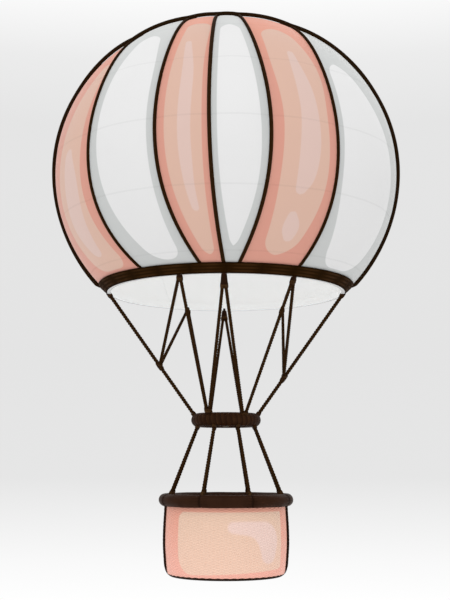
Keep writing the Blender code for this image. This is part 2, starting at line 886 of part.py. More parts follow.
def main():
    build_gores()
    build_load_tapes()
    build_vent_panel()
    sockets = build_ropes()
    build_mouth_band(sockets["mouth_band"])
    build_load_ring(sockets["load_ring"])
    build_basket_rim(sockets["basket_rim"])
    floor_high = build_basket()
    build_burner()
    build_fuel(floor_high)


main()
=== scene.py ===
"""Looks of a hot air balloon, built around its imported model.

Metres, +Z up, -Y is the front. Azimuths are in degrees from the front towards +X.
"""

import logging
import math
from dataclasses import dataclass
from enum import Enum
from typing import NamedTuple, Optional, Sequence, Union

import bmesh
import bpy
import numpy as np
from mathutils import Matrix, Vector


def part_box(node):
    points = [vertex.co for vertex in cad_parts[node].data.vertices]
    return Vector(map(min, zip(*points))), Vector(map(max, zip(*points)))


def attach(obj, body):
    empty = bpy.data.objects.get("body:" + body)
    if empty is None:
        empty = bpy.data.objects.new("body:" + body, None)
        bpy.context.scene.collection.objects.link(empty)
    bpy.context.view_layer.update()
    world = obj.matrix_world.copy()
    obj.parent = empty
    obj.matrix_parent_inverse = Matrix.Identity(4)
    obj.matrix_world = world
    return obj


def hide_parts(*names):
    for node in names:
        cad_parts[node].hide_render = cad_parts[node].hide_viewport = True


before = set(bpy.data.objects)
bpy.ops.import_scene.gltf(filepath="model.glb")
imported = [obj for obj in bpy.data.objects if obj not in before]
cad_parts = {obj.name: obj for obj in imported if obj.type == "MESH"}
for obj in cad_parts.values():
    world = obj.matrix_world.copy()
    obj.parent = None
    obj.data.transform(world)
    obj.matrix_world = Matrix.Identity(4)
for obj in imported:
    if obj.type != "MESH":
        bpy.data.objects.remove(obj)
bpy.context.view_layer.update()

LOG = logging.getLogger("balloon")
Array = np.ndarray
Socket = bpy.types.NodeSocket
Material = bpy.types.Material
Colour = tuple[float, float, float, float]
Triple = tuple[float, float, float]
Profile = Sequence[tuple[float, float]]
Term = Union["Value", float]
Link = Union["Value", Socket, float, str, Triple]

FORWARD = (0.0, 1.0, 0.0)
UP = (0.0, 0.0, 1.0)
DOWN = (0.0, 0.0, -1.0)
CORNERS = (45.0, 135.0, 225.0, 315.0)

# Distance between a gore's cross seams, and height of the load ring and burner
PANEL_PITCH = 0.86
RING_LEVEL = -3.497
SHARP_EDGE = math.radians(42.0)


class Body(Enum):
    """The bodies that pieces ride on."""

    AIRFRAME = "airframe"
    VENT = "vent"
    BURNER = "burner"


class Stripe(Enum):
    """The two cloths of the envelope."""

    PEACH = "peach"
    WHITE = "white"


def linear(code: str) -> Colour:
    """Turns a hex colour into linear values.

    Args:
        code: the colour as #rrggbb.

    Returns:
        Red, green, blue and 1.
    """
    parts = [int(code[start:start + 2], 16) / 255.0 for start in (1, 3, 5)]
    low, knee, lift, power = 12.92, 0.04045, 0.055, 2.4
    made = [p / low if p <= knee else ((p + lift) / (1.0 + lift)) ** power for p in parts]
    return (made[0], made[1], made[2], 1.0)


def polar(radius: Array, azimuth: Array, height: Array) -> Array:
    """Points at azimuths in degrees, from the front towards +X.

    Args:
        radius: distance from the upright axis.
        azimuth: azimuth in degrees.
        height: height of each point.

    Returns:
        An array of points, its last axis x, y, z.
    """
    radius, azimuth, height = np.broadcast_arrays(radius, np.radians(azimuth), height)
    return np.stack([radius * np.sin(azimuth), -radius * np.cos(azimuth), height], axis=-1)


def hoop(radius: Array, height: Array, size: Array, angle: Array, azimuth: Array) -> Array:
    """Points on a hoop with a round section.

    Args:
        radius: radius of the hoop's middle line.
        height: height of the middle line.
        size: distance from the middle line.
        angle: angle round the section in radians, from outside upwards.
        azimuth: azimuth in degrees.

    Returns:
        The points.
    """
    return polar(radius + size * np.cos(angle), azimuth, height + size * np.sin(angle))


def around(steps: int) -> Array:
    """Azimuths of evenly spaced steps right round."""
    return np.arange(steps) * 360.0 / steps


def quads_over(grid: Array) -> Array:
    """Four-sided faces over a grid of point numbers."""
    corners = [grid[:-1, :-1], grid[:-1, 1:], grid[1:, 1:], grid[1:, :-1]]
    return np.stack(corners, axis=-1).reshape(-1, 4)


def smooth_curve(places: Sequence[float], values: Sequence[float], at: Array) -> Array:
    """Reads a smooth curve through a few points, level past its ends.

    Args:
        places: rising places of the points.
        values: the curve's value at each place.
        at: where to read it.

    Returns:
        The values there.
    """
    x, y = np.asarray(places, float), np.asarray(values, float)
    slope = np.gradient(y, x)
    spot = np.clip(at, x[0], x[-1])
    left = np.clip(np.searchsorted(x, spot, side="right") - 1, 0, len(x) - 2)
    span = x[left + 1] - x[left]
    t = (spot - x[left]) / span
    start = (1 + 2 * t) * (1 - t) ** 2 * y[left] + t * (1 - t) ** 2 * span * slope[left]
    end = t**2 * (3 - 2 * t) * y[left + 1] + t**2 * (t - 1) * span * slope[left + 1]
    return start + end


def round_corner(one: Array, other: Array, radius: float) -> Array:
    """Joins two inside distances with a rounded corner.

    Args:
        one: distance inside the first edge.
        other: distance inside the second edge.
        radius: the corner's radius.

    Returns:
        Distance inside both.
    """
    corner = radius - np.hypot(np.maximum(radius - one, 0.0), np.maximum(radius - other, 0.0))
    return np.where((one < radius) & (other < radius), corner, np.minimum(one, other))


class Blob(NamedTuple):
    """One round of a brush stroke."""

    x: float
    y: float
    radius: float


def stroke(blobs: Sequence[Blob], x: Array, y: Array) -> Array:
    """Distance inside a brush stroke with round ends.

    Args:
        blobs: rounds that the stroke runs smoothly through.
        x: first coordinate of each point.
        y: second coordinate of each point.

    Returns:
        The distance, above 0 inside the stroke.
    """
    steps = np.linspace(0.0, len(blobs) - 1.0, 24 * (len(blobs) - 1) + 1)
    parts = [smooth_curve(range(len(blobs)), values, steps) for values in zip(*blobs)]
    best = np.full(np.broadcast(x, y).shape, -1.0)
    for middle, level, radius in zip(*parts):
        best = np.maximum(best, radius - np.hypot(x - middle, y - level))
    return best


class Value:
    """A number in a shader; an expression on it adds Math nodes."""

    def __init__(self, shader: "Shader", socket: Socket) -> None:
        """Wraps an output socket."""
        self.shader = shader
        self.socket = socket

    def __add__(self, other: Term) -> "Value":
        """Sum."""
        return self.shader.math("ADD", self, other)

    __radd__ = __add__

    def __sub__(self, other: Term) -> "Value":
        """Difference."""
        return self.shader.math("SUBTRACT", self, other)

    def __rsub__(self, other: Term) -> "Value":
        """Difference from a number."""
        return self.shader.math("SUBTRACT", other, self)

    def __mul__(self, other: Term) -> "Value":
        """Product."""
        return self.shader.math("MULTIPLY", self, other)

    __rmul__ = __mul__

    def __truediv__(self, other: Term) -> "Value":
        """Quotient."""
        return self.shader.math("DIVIDE", self, other)

    def __abs__(self) -> "Value":
        """Size without sign."""
        return self.shader.math("ABSOLUTE", self)

    def most(self, other: Term) -> "Value":
        """The larger of two."""
        return self.shader.math("MAXIMUM", self, other)

    def ridge(self, pitch: float) -> "Value":
        """Rounded ridges, 0 in each groove and 1 on each crest, a pitch apart."""
        return abs(self.shader.math("SINE", self * (math.pi / pitch)))

    def from_line(self, pitch: float) -> "Value":
        """Distance to the nearest of evenly spaced lines, the first half a pitch on."""
        share = self.shader.math("FRACT", self / pitch)
        return abs(share - 0.5) * pitch

    def fade(self, start: float, end: float) -> "Value":
        """Smooth step.

        Args:
            start: where it is 0.
            end: where it is 1, which may be the lower.

        Returns:
            The step.
        """
        low, high = min(start, end), max(start, end)
        kind = {"interpolation_type": "SMOOTHSTEP"}
        limits = {"Value": self, "From Min": low, "From Max": high}
        step = Value(self.shader, self.shader.node("ShaderNodeMapRange", kind, limits).outputs[0])
        return step if start < end else 1.0 - step


class Shader:
    """The nodes of a material or a world."""

    def __init__(self, name: str, world: bool = False) -> None:
        """Starts with no nodes.

        Args:
            name: name of the material or world.
            world: makes a world.
        """
        self.owner = (bpy.data.worlds if world else bpy.data.materials).new(name)
        self.owner.use_nodes = True
        self.tree = self.owner.node_tree
        self.tree.nodes.clear()

    def node(self, kind: str, settings: Optional[dict] = None,
             sockets: Optional[dict] = None) -> bpy.types.Node:
        """Adds a node.

        Args:
            kind: the node's type.
            settings: its properties, and a ramp's stops as (place, hex colour) pairs.
            sockets: values or links of its inputs, by name or number.

        Returns:
            The node.
        """
        made = self.tree.nodes.new(kind)
        for key, value in (settings or {}).items():
            if key == "stops":
                steps = made.color_ramp.elements
                while len(steps) < len(value):
                    steps.new(1.0)
                for step, (place, colour) in zip(steps, value):
                    step.position = place
                    step.color = linear(colour)
            else:
                setattr(made, key, value)
        for key, value in (sockets or {}).items():
            self.feed(made.inputs[key], value)
        return made

    def feed(self, socket: Socket, value: Link) -> None:
        """Links or sets one input.

        Args:
            socket: the input.
            value: what to link, a hex colour, or a plain value.
        """
        if isinstance(value, Value):
            value = value.socket
        if isinstance(value, Socket):
            self.tree.links.new(value, socket)
        else:
            socket.default_value = linear(value) if isinstance(value, str) else value

    def math(self, operation: str, *terms: Term) -> Value:
        """One Math node on its terms."""
        made = self.node("ShaderNodeMath", {"operation": operation}, dict(enumerate(terms)))
        return Value(self, made.outputs[0])

    def attribute(self, name: str) -> Value:
        """A value that the mesh carries."""
        return Value(self, self.node("ShaderNodeAttribute", {"attribute_name": name}).outputs["Fac"])

    def place(self) -> Socket:
        """The point itself, in the object's own space."""
        return self.node("ShaderNodeTexCoord").outputs["Object"]

    def axes(self) -> tuple[Value, Value, Value]:
        """The point's x, y and z."""
        split = self.node("ShaderNodeSeparateXYZ", None, {0: self.place()})
        return tuple(Value(self, socket) for socket in split.outputs)

    def noise(self, scale: float, detail: float = 2.0, stretch: Optional[Triple] = None) -> Value:
        """Cloudy noise, about 0.5 on average.

        Args:
            scale: its scale.
            detail: its detail.
            stretch: what the point is first multiplied by along each axis.

        Returns:
            The noise.
        """
        place = self.place()
        if stretch:
            sockets = {0: place, 1: stretch}
            place = self.node("ShaderNodeVectorMath", {"operation": "MULTIPLY"}, sockets).outputs[0]
        sockets = {"Vector": place, "Scale": scale, "Detail": detail}
        return Value(self, self.node("ShaderNodeTexNoise", None, sockets).outputs[0])

    def cells(self, scale: float) -> Value:
        """Distance to the middle of the nearest of scattered cells."""
        sockets = {"Vector": self.place(), "Scale": scale}
        return Value(self, self.node("ShaderNodeTexVoronoi", None, sockets).outputs["Distance"])

    def mix(self, factor: Link, one: Link, other: Link) -> Socket:
        """Blends two colours."""
        made = self.node("ShaderNodeMix", {"data_type": "RGBA"}, {0: factor, 6: one, 7: other})
        return made.outputs[2]

    def shade(self, colour: Link, amount: Value) -> Socket:
        """Multiplies a colour by a number."""
        settings = {"data_type": "RGBA", "blend_type": "MULTIPLY"}
        return self.node("ShaderNodeMix", settings, {0: 1.0, 6: colour, 7: amount}).outputs[2]

    def bump(self, height: Value, distance: float) -> Socket:
        """A normal that follows a height of 0 to 1."""
        sockets = {"Height": height, "Distance": distance, "Strength": 1.0}
        return self.node("ShaderNodeBump", None, sockets).outputs[0]

    def surface(self, sockets: dict) -> Material:
        """Ends the material with its surface.

        Args:
            sockets: inputs of the Principled shader, by name.

        Returns:
            The material.
        """
        made = self.node("ShaderNodeBsdfPrincipled", None, sockets)
        self.node("ShaderNodeOutputMaterial", None, {0: made.outputs[0]})
        return self.owner


@dataclass(frozen=True)
class GoreCloth:
    """Proofed envelope cloth: a paler panel inside a border of painted shade along the seams, lighter near
    the crown as painted light, with painted highlights in brushed strokes.
    """

    name: str
    panel: str
    panel_low: str
    # The border is painted shade along the seams; its tone near the crown is lighter, painted light from
    # above; the highlight is a painted highlight.
    border: str
    border_lit_top: str
    highlight: str
    soft_edge: float = 0.007
    border_blend: tuple[float, float] = (0.15, 0.55)
    panel_blend: tuple[float, float] = (0.3, 1.0)
    cloud: float = 1.3
    fell: float = 0.0115
    stitch: float = 0.009
    stitch_row: float = 0.010
    ripstop: float = 0.008
    depth: float = 0.0006

    def material(self) -> Material:
        """Makes the cloth.

        Returns:
            The material.
        """
        shader = Shader(self.name)
        share, along = shader.attribute("share"), shader.attribute("along")
        lateral = shader.attribute("lateral")
        inner = shader.attribute("inner").fade(-self.soft_edge, self.soft_edge)
        lit = shader.attribute("highlight").fade(-self.soft_edge, self.soft_edge)
        # Painted shade: the border's colour darkens the cloth along the seams, lighter near the crown as
        # painted light.
        rim = shader.mix(share.fade(*self.border_blend), self.border_lit_top, self.border)
        body = shader.mix(share.fade(*self.panel_blend), self.panel, self.panel_low)
        # Painted highlight: paler colour in the brushed strokes.
        body = shader.mix(lit, body, self.highlight)
        colour = shader.mix(inner, rim, body)
        seam = along.from_line(PANEL_PITCH)
        felled = seam.fade(self.fell + 0.0015, self.fell - 0.0015)
        rows, stitches = seam.from_line(self.stitch_row), lateral.from_line(self.stitch)
        thread = rows.fade(0.0016, 0.0008) * stitches.fade(0.0035, 0.0025)
        cloudy = shader.noise(self.cloud, 3.0)
        tone = 1.0 + (cloudy - 0.5) * 0.035 - felled * 0.030 - felled * thread * 0.12
        grid = along.ridge(self.ripstop).fade(0.35, 0.0).most(lateral.ridge(self.ripstop).fade(0.35, 0.0))
        fine = shader.noise(900.0, 1.0)
        height = grid * 0.55 + fine * 0.25 + felled * 0.9 + felled * thread * 0.5
        rough = 0.52 + (cloudy - 0.5) * 0.16 + felled * 0.08
        return shader.surface({
            "Base Color": shader.shade(colour, tone),
            "Roughness": rough,
            "Normal": shader.bump(height, self.depth),
            "Sheen Weight": 0.12,
            "Sheen Roughness": 0.45,
            "Specular IOR Level": 0.25,
        })


@dataclass(frozen=True)
class CoatedCloth:
    """The cloth's coated inner face: above a pale skirt, daylight through the cloth is painted in as the
    stripe's colour, the tapes' painted shadows and a painted glow.
    """

    name: str
    tone: str
    # The stripe colour is painted daylight through the cloth; the tape colour is the tapes' painted shadow.
    stripe: str
    tape: str
    # Painted light: the face glows, standing in for daylight through the cloth.
    painted_daylight_glow: float = 0.246
    tape_half_width: float = 0.030
    skirt: tuple[float, float] = (0.85, 0.70)
    depth: float = 0.0006

    def material(self) -> Material:
        """Makes the coating.

        Returns:
            The material.
        """
        shader = Shader(self.name)
        share, along, edge = (shader.attribute(name) for name in ("share", "along", "edge"))
        above = share.fade(*self.skirt)
        cloudy = shader.noise(2.1, 3.0)
        weave = shader.noise(700.0, 1.0)
        felled = along.from_line(PANEL_PITCH).fade(0.014, 0.011) * above
        # Painted shadow: the tapes outside darken strips of the inner face above the skirt.
        tape_ridge_and_shadow = edge.fade(self.tape_half_width + 0.002, self.tape_half_width - 0.002) * above
        colour = shader.mix(above, self.tone, self.stripe)
        colour = shader.mix(tape_ridge_and_shadow * 0.45, colour, self.tape)
        colour = shader.shade(colour, 1.0 + (cloudy - 0.5) * 0.05 - felled * 0.06)
        return shader.surface({
            "Base Color": colour,
            "Roughness": 0.62 + (cloudy - 0.5) * 0.12,
            "Normal": shader.bump(weave * 0.5 + felled * 0.5 + tape_ridge_and_shadow * 0.5, self.depth),
            "Specular IOR Level": 0.2,
            # Painted light: emission in the face's own colour stands in for daylight through the cloth.
            "Emission Color": colour,
            "Emission Strength": self.painted_daylight_glow,
        })


@dataclass(frozen=True)
class Webbing:
    """Woven tape in twill, stitched along both edges, with painted shade in the twill's grooves."""

    name: str
    tone: str
    thread: str
    rib: float = 0.0035
    stitch: float = 0.008
    row: float = 0.0185
    depth: float = 0.0008

    def material(self) -> Material:
        """Makes the webbing.

        Returns:
            The material.
        """
        shader = Shader(self.name)
        along, across = shader.attribute("along"), shader.attribute("across")
        twill = (along + across * 0.9).ridge(self.rib)
        stitches = along.from_line(self.stitch).fade(0.0030, 0.0020)
        thread = stitches * abs(abs(across) - self.row).fade(0.0014, 0.0008)
        cloudy = shader.noise(9.0, 3.0)
        colour = shader.mix(thread, self.tone, self.thread)
        return shader.surface({
            # Painted shade: the colour darkens in the twill's grooves.
            "Base Color": shader.shade(colour, 0.78 + twill * 0.22 + cloudy * 0.16),
            "Roughness": 0.66 + (cloudy - 0.5) * 0.2,
            "Normal": shader.bump(twill * 0.6 + thread * 0.8, self.depth),
            "Specular IOR Level": 0.03,
        })


@dataclass(frozen=True)
class Hide:
    """Grained leather: painted shade darkens its grooves; it is rubbed paler and smoother where it stands
    proud.
    """

    name: str
    tone: str
    worn: str
    grain: float = 260.0
    roughness: float = 0.50
    shine: float = 0.03
    depth: float = 0.0011

    def material(self) -> Material:
        """Makes the leather.

        Returns:
            The material.
        """
        shader = Shader(self.name)
        relief = shader.attribute("relief")
        cloudy = shader.noise(7.0, 4.0)
        grain = shader.cells(self.grain)
        crease = shader.noise(38.0, 3.0)
        rubbed = (relief * 0.8 + cloudy * 0.6).fade(0.75, 1.15)
        colour = shader.mix(rubbed * 0.35, self.tone, self.worn)
        return shader.surface({
            # Painted shade: low relief, in grooves and creases, is darker colour.
            "Base Color": shader.shade(colour, 0.55 + relief * 0.34 + cloudy * 0.12),
            "Roughness": self.roughness + 0.12 - rubbed * 0.18 + (grain - 0.4) * 0.12,
            "Normal": shader.bump(grain * 0.55 + crease * 0.45, self.depth),
            "Specular IOR Level": self.shine,
        })


@dataclass(frozen=True)
class Twine:
    """Laid rope or whipping: strands with fibres along them, and painted shade between the strands."""

    name: str
    tone: str
    fibre: str
    roughness: float = 0.72
    depth: float = 0.0008

    def material(self) -> Material:
        """Makes the rope's surface.

        Returns:
            The material.
        """
        shader = Shader(self.name)
        strand, along = shader.attribute("strand"), shader.attribute("along")
        lay = (strand * 0.011 + along * 0.35).ridge(0.0030)
        cloudy = shader.noise(24.0, 3.0)
        fuzz = shader.noise(420.0, 2.0)
        # Painted shade: the colour darkens in the grooves between strands.
        groove = abs(strand).fade(1.0, 0.55)
        colour = shader.mix((lay * cloudy).fade(0.2, 0.8) * 0.5, self.tone, self.fibre)
        return shader.surface({
            "Base Color": shader.shade(colour, 0.55 + groove * 0.40 + fuzz * 0.12),
            "Roughness": self.roughness + (fuzz - 0.5) * 0.2,
            "Normal": shader.bump(lay * 0.7 + fuzz * 0.3, self.depth),
            "Specular IOR Level": 0.03,
        })


@dataclass(frozen=True)
class Wicker:
    """Woven cane: a paler panel inside a border of painted shade, both lighter towards the base as painted
    light, with painted shade in the weave and painted highlights in brushed strokes.
    """

    name: str
    # The border is painted shade round the panel; painted light makes both panel and border lighter towards
    # the base; the highlight is painted.
    panel_top: str
    panel_low: str
    border: str
    border_lit_low: str
    highlight: str
    base: float
    height: float
    soft_edge: float = 0.009
    depth: float = 0.0010

    def material(self) -> Material:
        """Makes the wicker.

        Returns:
            The material.
        """
        shader = Shader(self.name)
        z = shader.axes()[2]
        up = ((z - self.base) / self.height).fade(0.0, 1.0)
        inner = shader.attribute("inner").fade(-self.soft_edge, self.soft_edge)
        lit = shader.attribute("highlight").fade(-self.soft_edge * 2.5, self.soft_edge * 2.5)
        relief = shader.attribute("relief")
        # Painted light: panel and border are lighter towards the base; the border round the panel is painted
        # shade; the highlight is painted.
        panel = shader.mix(up, self.panel_low, self.panel_top)
        panel = shader.mix(lit, panel, self.highlight)
        rim = shader.mix(up, self.border_lit_low, self.border)
        colour = shader.mix(inner, rim, panel)
        cane = shader.noise(26.0, 3.0, (1.0, 1.0, 7.0))
        fibre = shader.noise(240.0, 2.0, (0.35, 0.35, 3.0))
        pores = shader.noise(600.0, 1.0)
        # Painted shade: the colour darkens where the canes dip under.
        tone = 0.87 + relief * 0.13 + (cane - 0.5) * 0.16 + (fibre - 0.5) * 0.06
        return shader.surface({
            "Base Color": shader.shade(colour, tone),
            "Roughness": 0.50 + (cane - 0.5) * 0.25,
            "Normal": shader.bump(fibre * 0.7 + pores * 0.3, self.depth),
            "Specular IOR Level": 0.3,
            "Coat Weight": relief * 0.10,
            "Coat Roughness": 0.4,
        })


@dataclass(frozen=True)
class Timber:
    """Oiled boards with their grain along X, trodden paler."""

    name: str
    early: str
    late: str
    ring: float = 0.011
    depth: float = 0.0008

    def material(self) -> Material:
        """Makes the wood.

        Returns:
            The material.
        """
        shader = Shader(self.name)
        board = shader.attribute("board")
        y = shader.axes()[1]
        bend = shader.noise(1.6, 2.0, (0.9, 5.0, 5.0))
        rings = (y + bend * 0.16 + board * 0.037).ridge(self.ring)
        pores = shader.noise(320.0, 2.0, (0.05, 1.0, 1.0))
        colour = shader.mix((rings * 0.7 + pores * 0.4).fade(0.2, 1.0), self.late, self.early)
        scuffs = shader.noise(5.0, 4.0)
        return shader.surface({
            "Base Color": shader.shade(colour, 0.86 + board * 0.14 + (scuffs - 0.5) * 0.25),
            "Roughness": 0.55 + (scuffs - 0.5) * 0.3,
            "Normal": shader.bump(rings * 0.4 + pores * 0.6, self.depth),
            "Specular IOR Level": 0.35,
        })


@dataclass(frozen=True)
class Metal:
    """Worked metal: brushed round, with smudges and, near a flame, tempering colours."""

    name: str
    tone: str
    dull: str
    roughness: float
    brushed: float = 0.0012
    tempered: float = 0.0
    depth: float = 0.00025

    def material(self) -> Material:
        """Makes the metal.

        Returns:
            The material.
        """
        shader = Shader(self.name)
        z = shader.axes()[2]
        smudge = shader.noise(11.0, 4.0)
        grit = shader.noise(500.0, 2.0, (0.2, 0.2, 1.0))
        heat = shader.attribute("heat")
        blue = shader.mix((heat + (smudge - 0.5) * 0.5).fade(0.45, 0.95), "#b08a52", "#4a5878")
        plain = shader.mix(smudge.fade(0.45, 0.8) * 0.6, self.tone, self.dull)
        warm = (heat + (smudge - 0.5) * 0.4).fade(0.1, 0.7) * self.tempered
        return shader.surface({
            "Base Color": shader.mix(warm, plain, blue),
            "Metallic": 1.0,
            "Roughness": self.roughness + (smudge - 0.5) * 0.22 + (grit - 0.5) * 0.10,
            "Normal": shader.bump(z.ridge(self.brushed) * 0.3 + grit * 0.7, self.depth),
        })


@dataclass
class Finishes:
    """Every material of the balloon."""

    def __post_init__(self) -> None:
        """Makes the materials."""
        dark, worn = "#2a1805", "#4a2f18"
        self.cloth = {
            # Gore cloths: panel, panel low, border of painted seam shade, its lighter painted-light tone at
            # the crown, painted highlight.
            Stripe.PEACH: GoreCloth(
                "peach_cloth", "#d8b2a0", "#d8b3a1", "#d69887", "#e29880", "#dabdb3"
            ).material(),
            Stripe.WHITE: GoreCloth(
                "white_cloth", "#e5e5e5", "#e3e3e3", "#c6c8c7", "#cfd1d0", "#eeeeee"
            ).material(),
        }
        # Coatings: the coating's own tone, the stripe as painted daylight through the cloth, and the tapes'
        # painted shadow.
        self.coating = {
            Stripe.PEACH: CoatedCloth("coated_peach", "#eaf2f4", "#e3cbc1", "#6d5948").material(),
            Stripe.WHITE: CoatedCloth("coated_white", "#eaf2f4", "#e6e6e6", "#6d5948").material(),
        }
        self.webbing = Webbing("tape_webbing", dark, "#6b4a2c").material()
        # Painted shade: the arch's webbing is a darker copy of the tape webbing, offsetting the light that
        # falls on the arch.
        self.arch = Webbing("arch_webbing_shaded", "#241505", "#4f3318", row=0.031).material()
        self.band = Hide("band_canvas", dark, worn, 420.0, 0.62, 0.01).material()
        self.lining = CoatedCloth("band_lining", "#d2d2d2", "#d2d2d2", "#d2d2d2", 0.0).material()
        self.leather = Hide("ring_hide", "#2c180b", worn).material()
        self.trim = Hide("rim_hide", "#28150a", "#40281a", 220.0).material()
        self.rope = Twine("laid_rope", dark, "#4f3418").material()
        self.thread = Twine("whipping_thread", "#3b2714", "#7a5a38", 0.6).material()
        self.timber = Timber("floor_boards", "#b98d5c", "#7d5530").material()
        self.runner = Timber("runner_boards", "#94683d", "#5c3b20").material()
        self.steel = Metal("burner_steel_sheet", "#9b9c9e", "#6f6a66", 0.30, tempered=1.0).material()
        self.tube = Metal("coil_tube", "#a3a2a0", "#75685a", 0.28, tempered=1.0).material()
        self.brass = Metal("burner_brass_block", "#54401e", "#2c2110", 0.38).material()
        self.alloy = Metal("cylinder_alloy", "#b9bcc0", "#989a9d", 0.34).material()
        self.collar = Metal("collar_brass", "#b8934c", "#86683a", 0.33).material()


def add_object(name: str, data: bpy.types.ID) -> bpy.types.Object:
    """Adds an object to the scene.

    Args:
        name: its name.
        data: its mesh, light or camera.

    Returns:
        The object.
    """
    made = bpy.data.objects.new(name, data)
    bpy.context.scene.collection.objects.link(made)
    return made


class Form:
    """One piece's mesh while it is gathered, as closed bodies."""

    def __init__(self) -> None:
        """Starts with nothing."""
        self.points: list[Array] = []
        self.faces: list[list[int]] = []
        self.slots: list[int] = []
        self.values: list[dict[str, Array]] = []
        self.count = 0

    def join(self, points: Array, faces: list[list[int]], slots: list[int],
             values: dict[str, Array]) -> None:
        """Takes up the points and faces of one body.

        Args:
            points: its points.
            faces: point numbers of each face.
            slots: material number of each face.
            values: named value of each point.
        """
        self.faces += [[self.count + point for point in face] for face in faces]
        self.slots += slots
        self.points.append(points)
        self.values.append(values)
        self.count += len(points)

    def solid(self, points: Array, quads: Array, caps: Sequence[Array],
              slots: Union[int, Array], values: dict[str, Array]) -> None:
        """Adds one closed body, its faces turned outward.

        Args:
            points: its points.
            quads: point numbers of its four-sided faces.
            caps: point numbers of its other faces.
            slots: material number of each quad, or of all.
            values: named value of each point.
        """
        flat = points.reshape(-1, 3)
        middle = flat - flat.mean(axis=0)
        a, b, c, d = (middle[quads[:, corner]] for corner in range(4))
        volume = float((a * (np.cross(b, c) + np.cross(c, d))).sum())
        for cap in caps:
            corners = middle[cap]
            volume += float((corners[0] * np.cross(corners[1:-1], corners[2:]).sum(axis=0)).sum())
        faces = quads.tolist() + [list(cap) for cap in caps]
        numbers = np.broadcast_to(slots, len(quads)).tolist()
        numbers += [numbers[0]] * len(caps)
        if volume < 0.0:
            faces = [face[::-1] for face in faces]
        self.join(flat, faces, numbers, values)

    def tube(self, rings: Array, loop: bool = False, slots: Union[int, Array] = 0,
             **values: Array) -> None:
        """Adds rings of points joined one after another.

        Args:
            rings: points by ring and place on it.
            loop: joins the last ring to the first; otherwise both ends are capped.
            slots: material number of each quad by ring and place, or of all.
            values: named value of each point.
        """
        count, sides = rings.shape[:2]
        index = np.arange(count * sides).reshape(count, sides)
        caps = () if loop else (index[0][::-1], index[-1])
        grid = np.concatenate([index, index[:, :1]], axis=1)
        if loop:
            grid = np.concatenate([grid, grid[:1]])
        numbers = slots if isinstance(slots, int) else slots.reshape(-1)
        spread = {key: np.broadcast_to(value, (count, sides)).reshape(-1) for key, value in values.items()}
        self.solid(rings, quads_over(grid), caps, numbers, spread)

    def turned(self, profile: Profile, steps: int, loop: bool = True,
               centre: Sequence[float] = (0.0, 0.0, 0.0), **values: Array) -> None:
        """Adds a turned body.

        Args:
            profile: (radius, height) points.
            steps: points round each ring.
            loop: closes the profile on itself; otherwise its ends are capped.
            centre: where radius and height are 0.
            values: named value of each point.
        """
        radius, height = np.array(profile, float).T
        rings = polar(radius[:, None], around(steps), height[:, None])
        self.tube(rings + np.array(centre), loop, **values)

    def shell(self, face: Array, under: Array, **values: Array) -> None:
        """Adds a closed sheet: material 0 outside and on its edges, 1 inside.

        Args:
            face: outer points by row and column.
            under: the inner points.
            values: named value of each point, the same on both faces.
        """
        rows, columns = face.shape[:2]
        front = np.arange(rows * columns).reshape(rows, columns)
        back = front + rows * columns
        edge = np.concatenate([front[0, :], front[1:, -1], front[-1, -2::-1], front[-2:0:-1, 0]])
        after = np.roll(edge, -1)
        below = rows * columns
        border = np.stack([after, edge, edge + below, after + below], axis=-1)
        quads = np.concatenate([quads_over(front), quads_over(back)[:, ::-1], border])
        cells = (rows - 1) * (columns - 1)
        slots = np.concatenate([np.zeros(cells, int), np.ones(cells, int), np.zeros(len(border), int)])
        points = np.concatenate([face.reshape(-1, 3), under.reshape(-1, 3)])
        doubled = {}
        for key, value in values.items():
            once = np.broadcast_to(value, (rows, columns)).reshape(-1)
            doubled[key] = np.concatenate([once, once])
        self.solid(points, quads, (), slots, doubled)

    def take(self, bm: bmesh.types.BMesh, turn: Optional[Matrix] = None, **values: float) -> None:
        """Adds a closed bmesh and frees it.

        Args:
            bm: the bmesh.
            turn: moves it first.
            values: named value of all its points.
        """
        if turn is not None:
            bmesh.ops.transform(bm, matrix=turn, verts=bm.verts)
        bm.verts.index_update()
        points = np.array([vertex.co[:] for vertex in bm.verts])
        faces = [[vertex.index for vertex in face.verts] for face in bm.faces]
        bm.free()
        spread = {key: np.full(len(points), value) for key, value in values.items()}
        self.join(points, faces, [0] * len(faces), spread)

    def block(self, low: Sequence[float], high: Sequence[float], bevel: float, **values: float) -> None:
        """Adds a box with rounded edges.

        Args:
            low: its lowest corner.
            high: its highest corner.
            bevel: how far its edges are rounded.
            values: named value of all its points.
        """
        bm = bmesh.new()
        bmesh.ops.create_cube(bm, size=1.0)
        size = Vector(high) - Vector(low)
        bmesh.ops.scale(bm, vec=size, verts=bm.verts)
        bmesh.ops.translate(bm, vec=(Vector(high) + Vector(low)) / 2.0, verts=bm.verts)
        bmesh.ops.bevel(bm, geom=bm.edges[:], offset=bevel, segments=3, profile=0.5, affect="EDGES")
        self.take(bm, **values)

    def bolt(self, centre: Sequence[float], axis: Sequence[float], radius: float, height: float) -> None:
        """Adds a six-sided bolt head with a bevelled top.

        Args:
            centre: its middle.
            axis: the way it points.
            radius: radius over its corners.
            height: its height.
        """
        bm = bmesh.new()
        bmesh.ops.create_cone(bm, cap_ends=True, segments=6, radius1=radius, radius2=radius, depth=height)
        bmesh.ops.bevel(bm, geom=bm.edges[:], offset=height * 0.15, segments=2, affect="EDGES")
        turn = Vector(axis).to_track_quat("Z", "Y").to_matrix().to_4x4()
        turn.translation = Vector(centre)
        self.take(bm, turn)

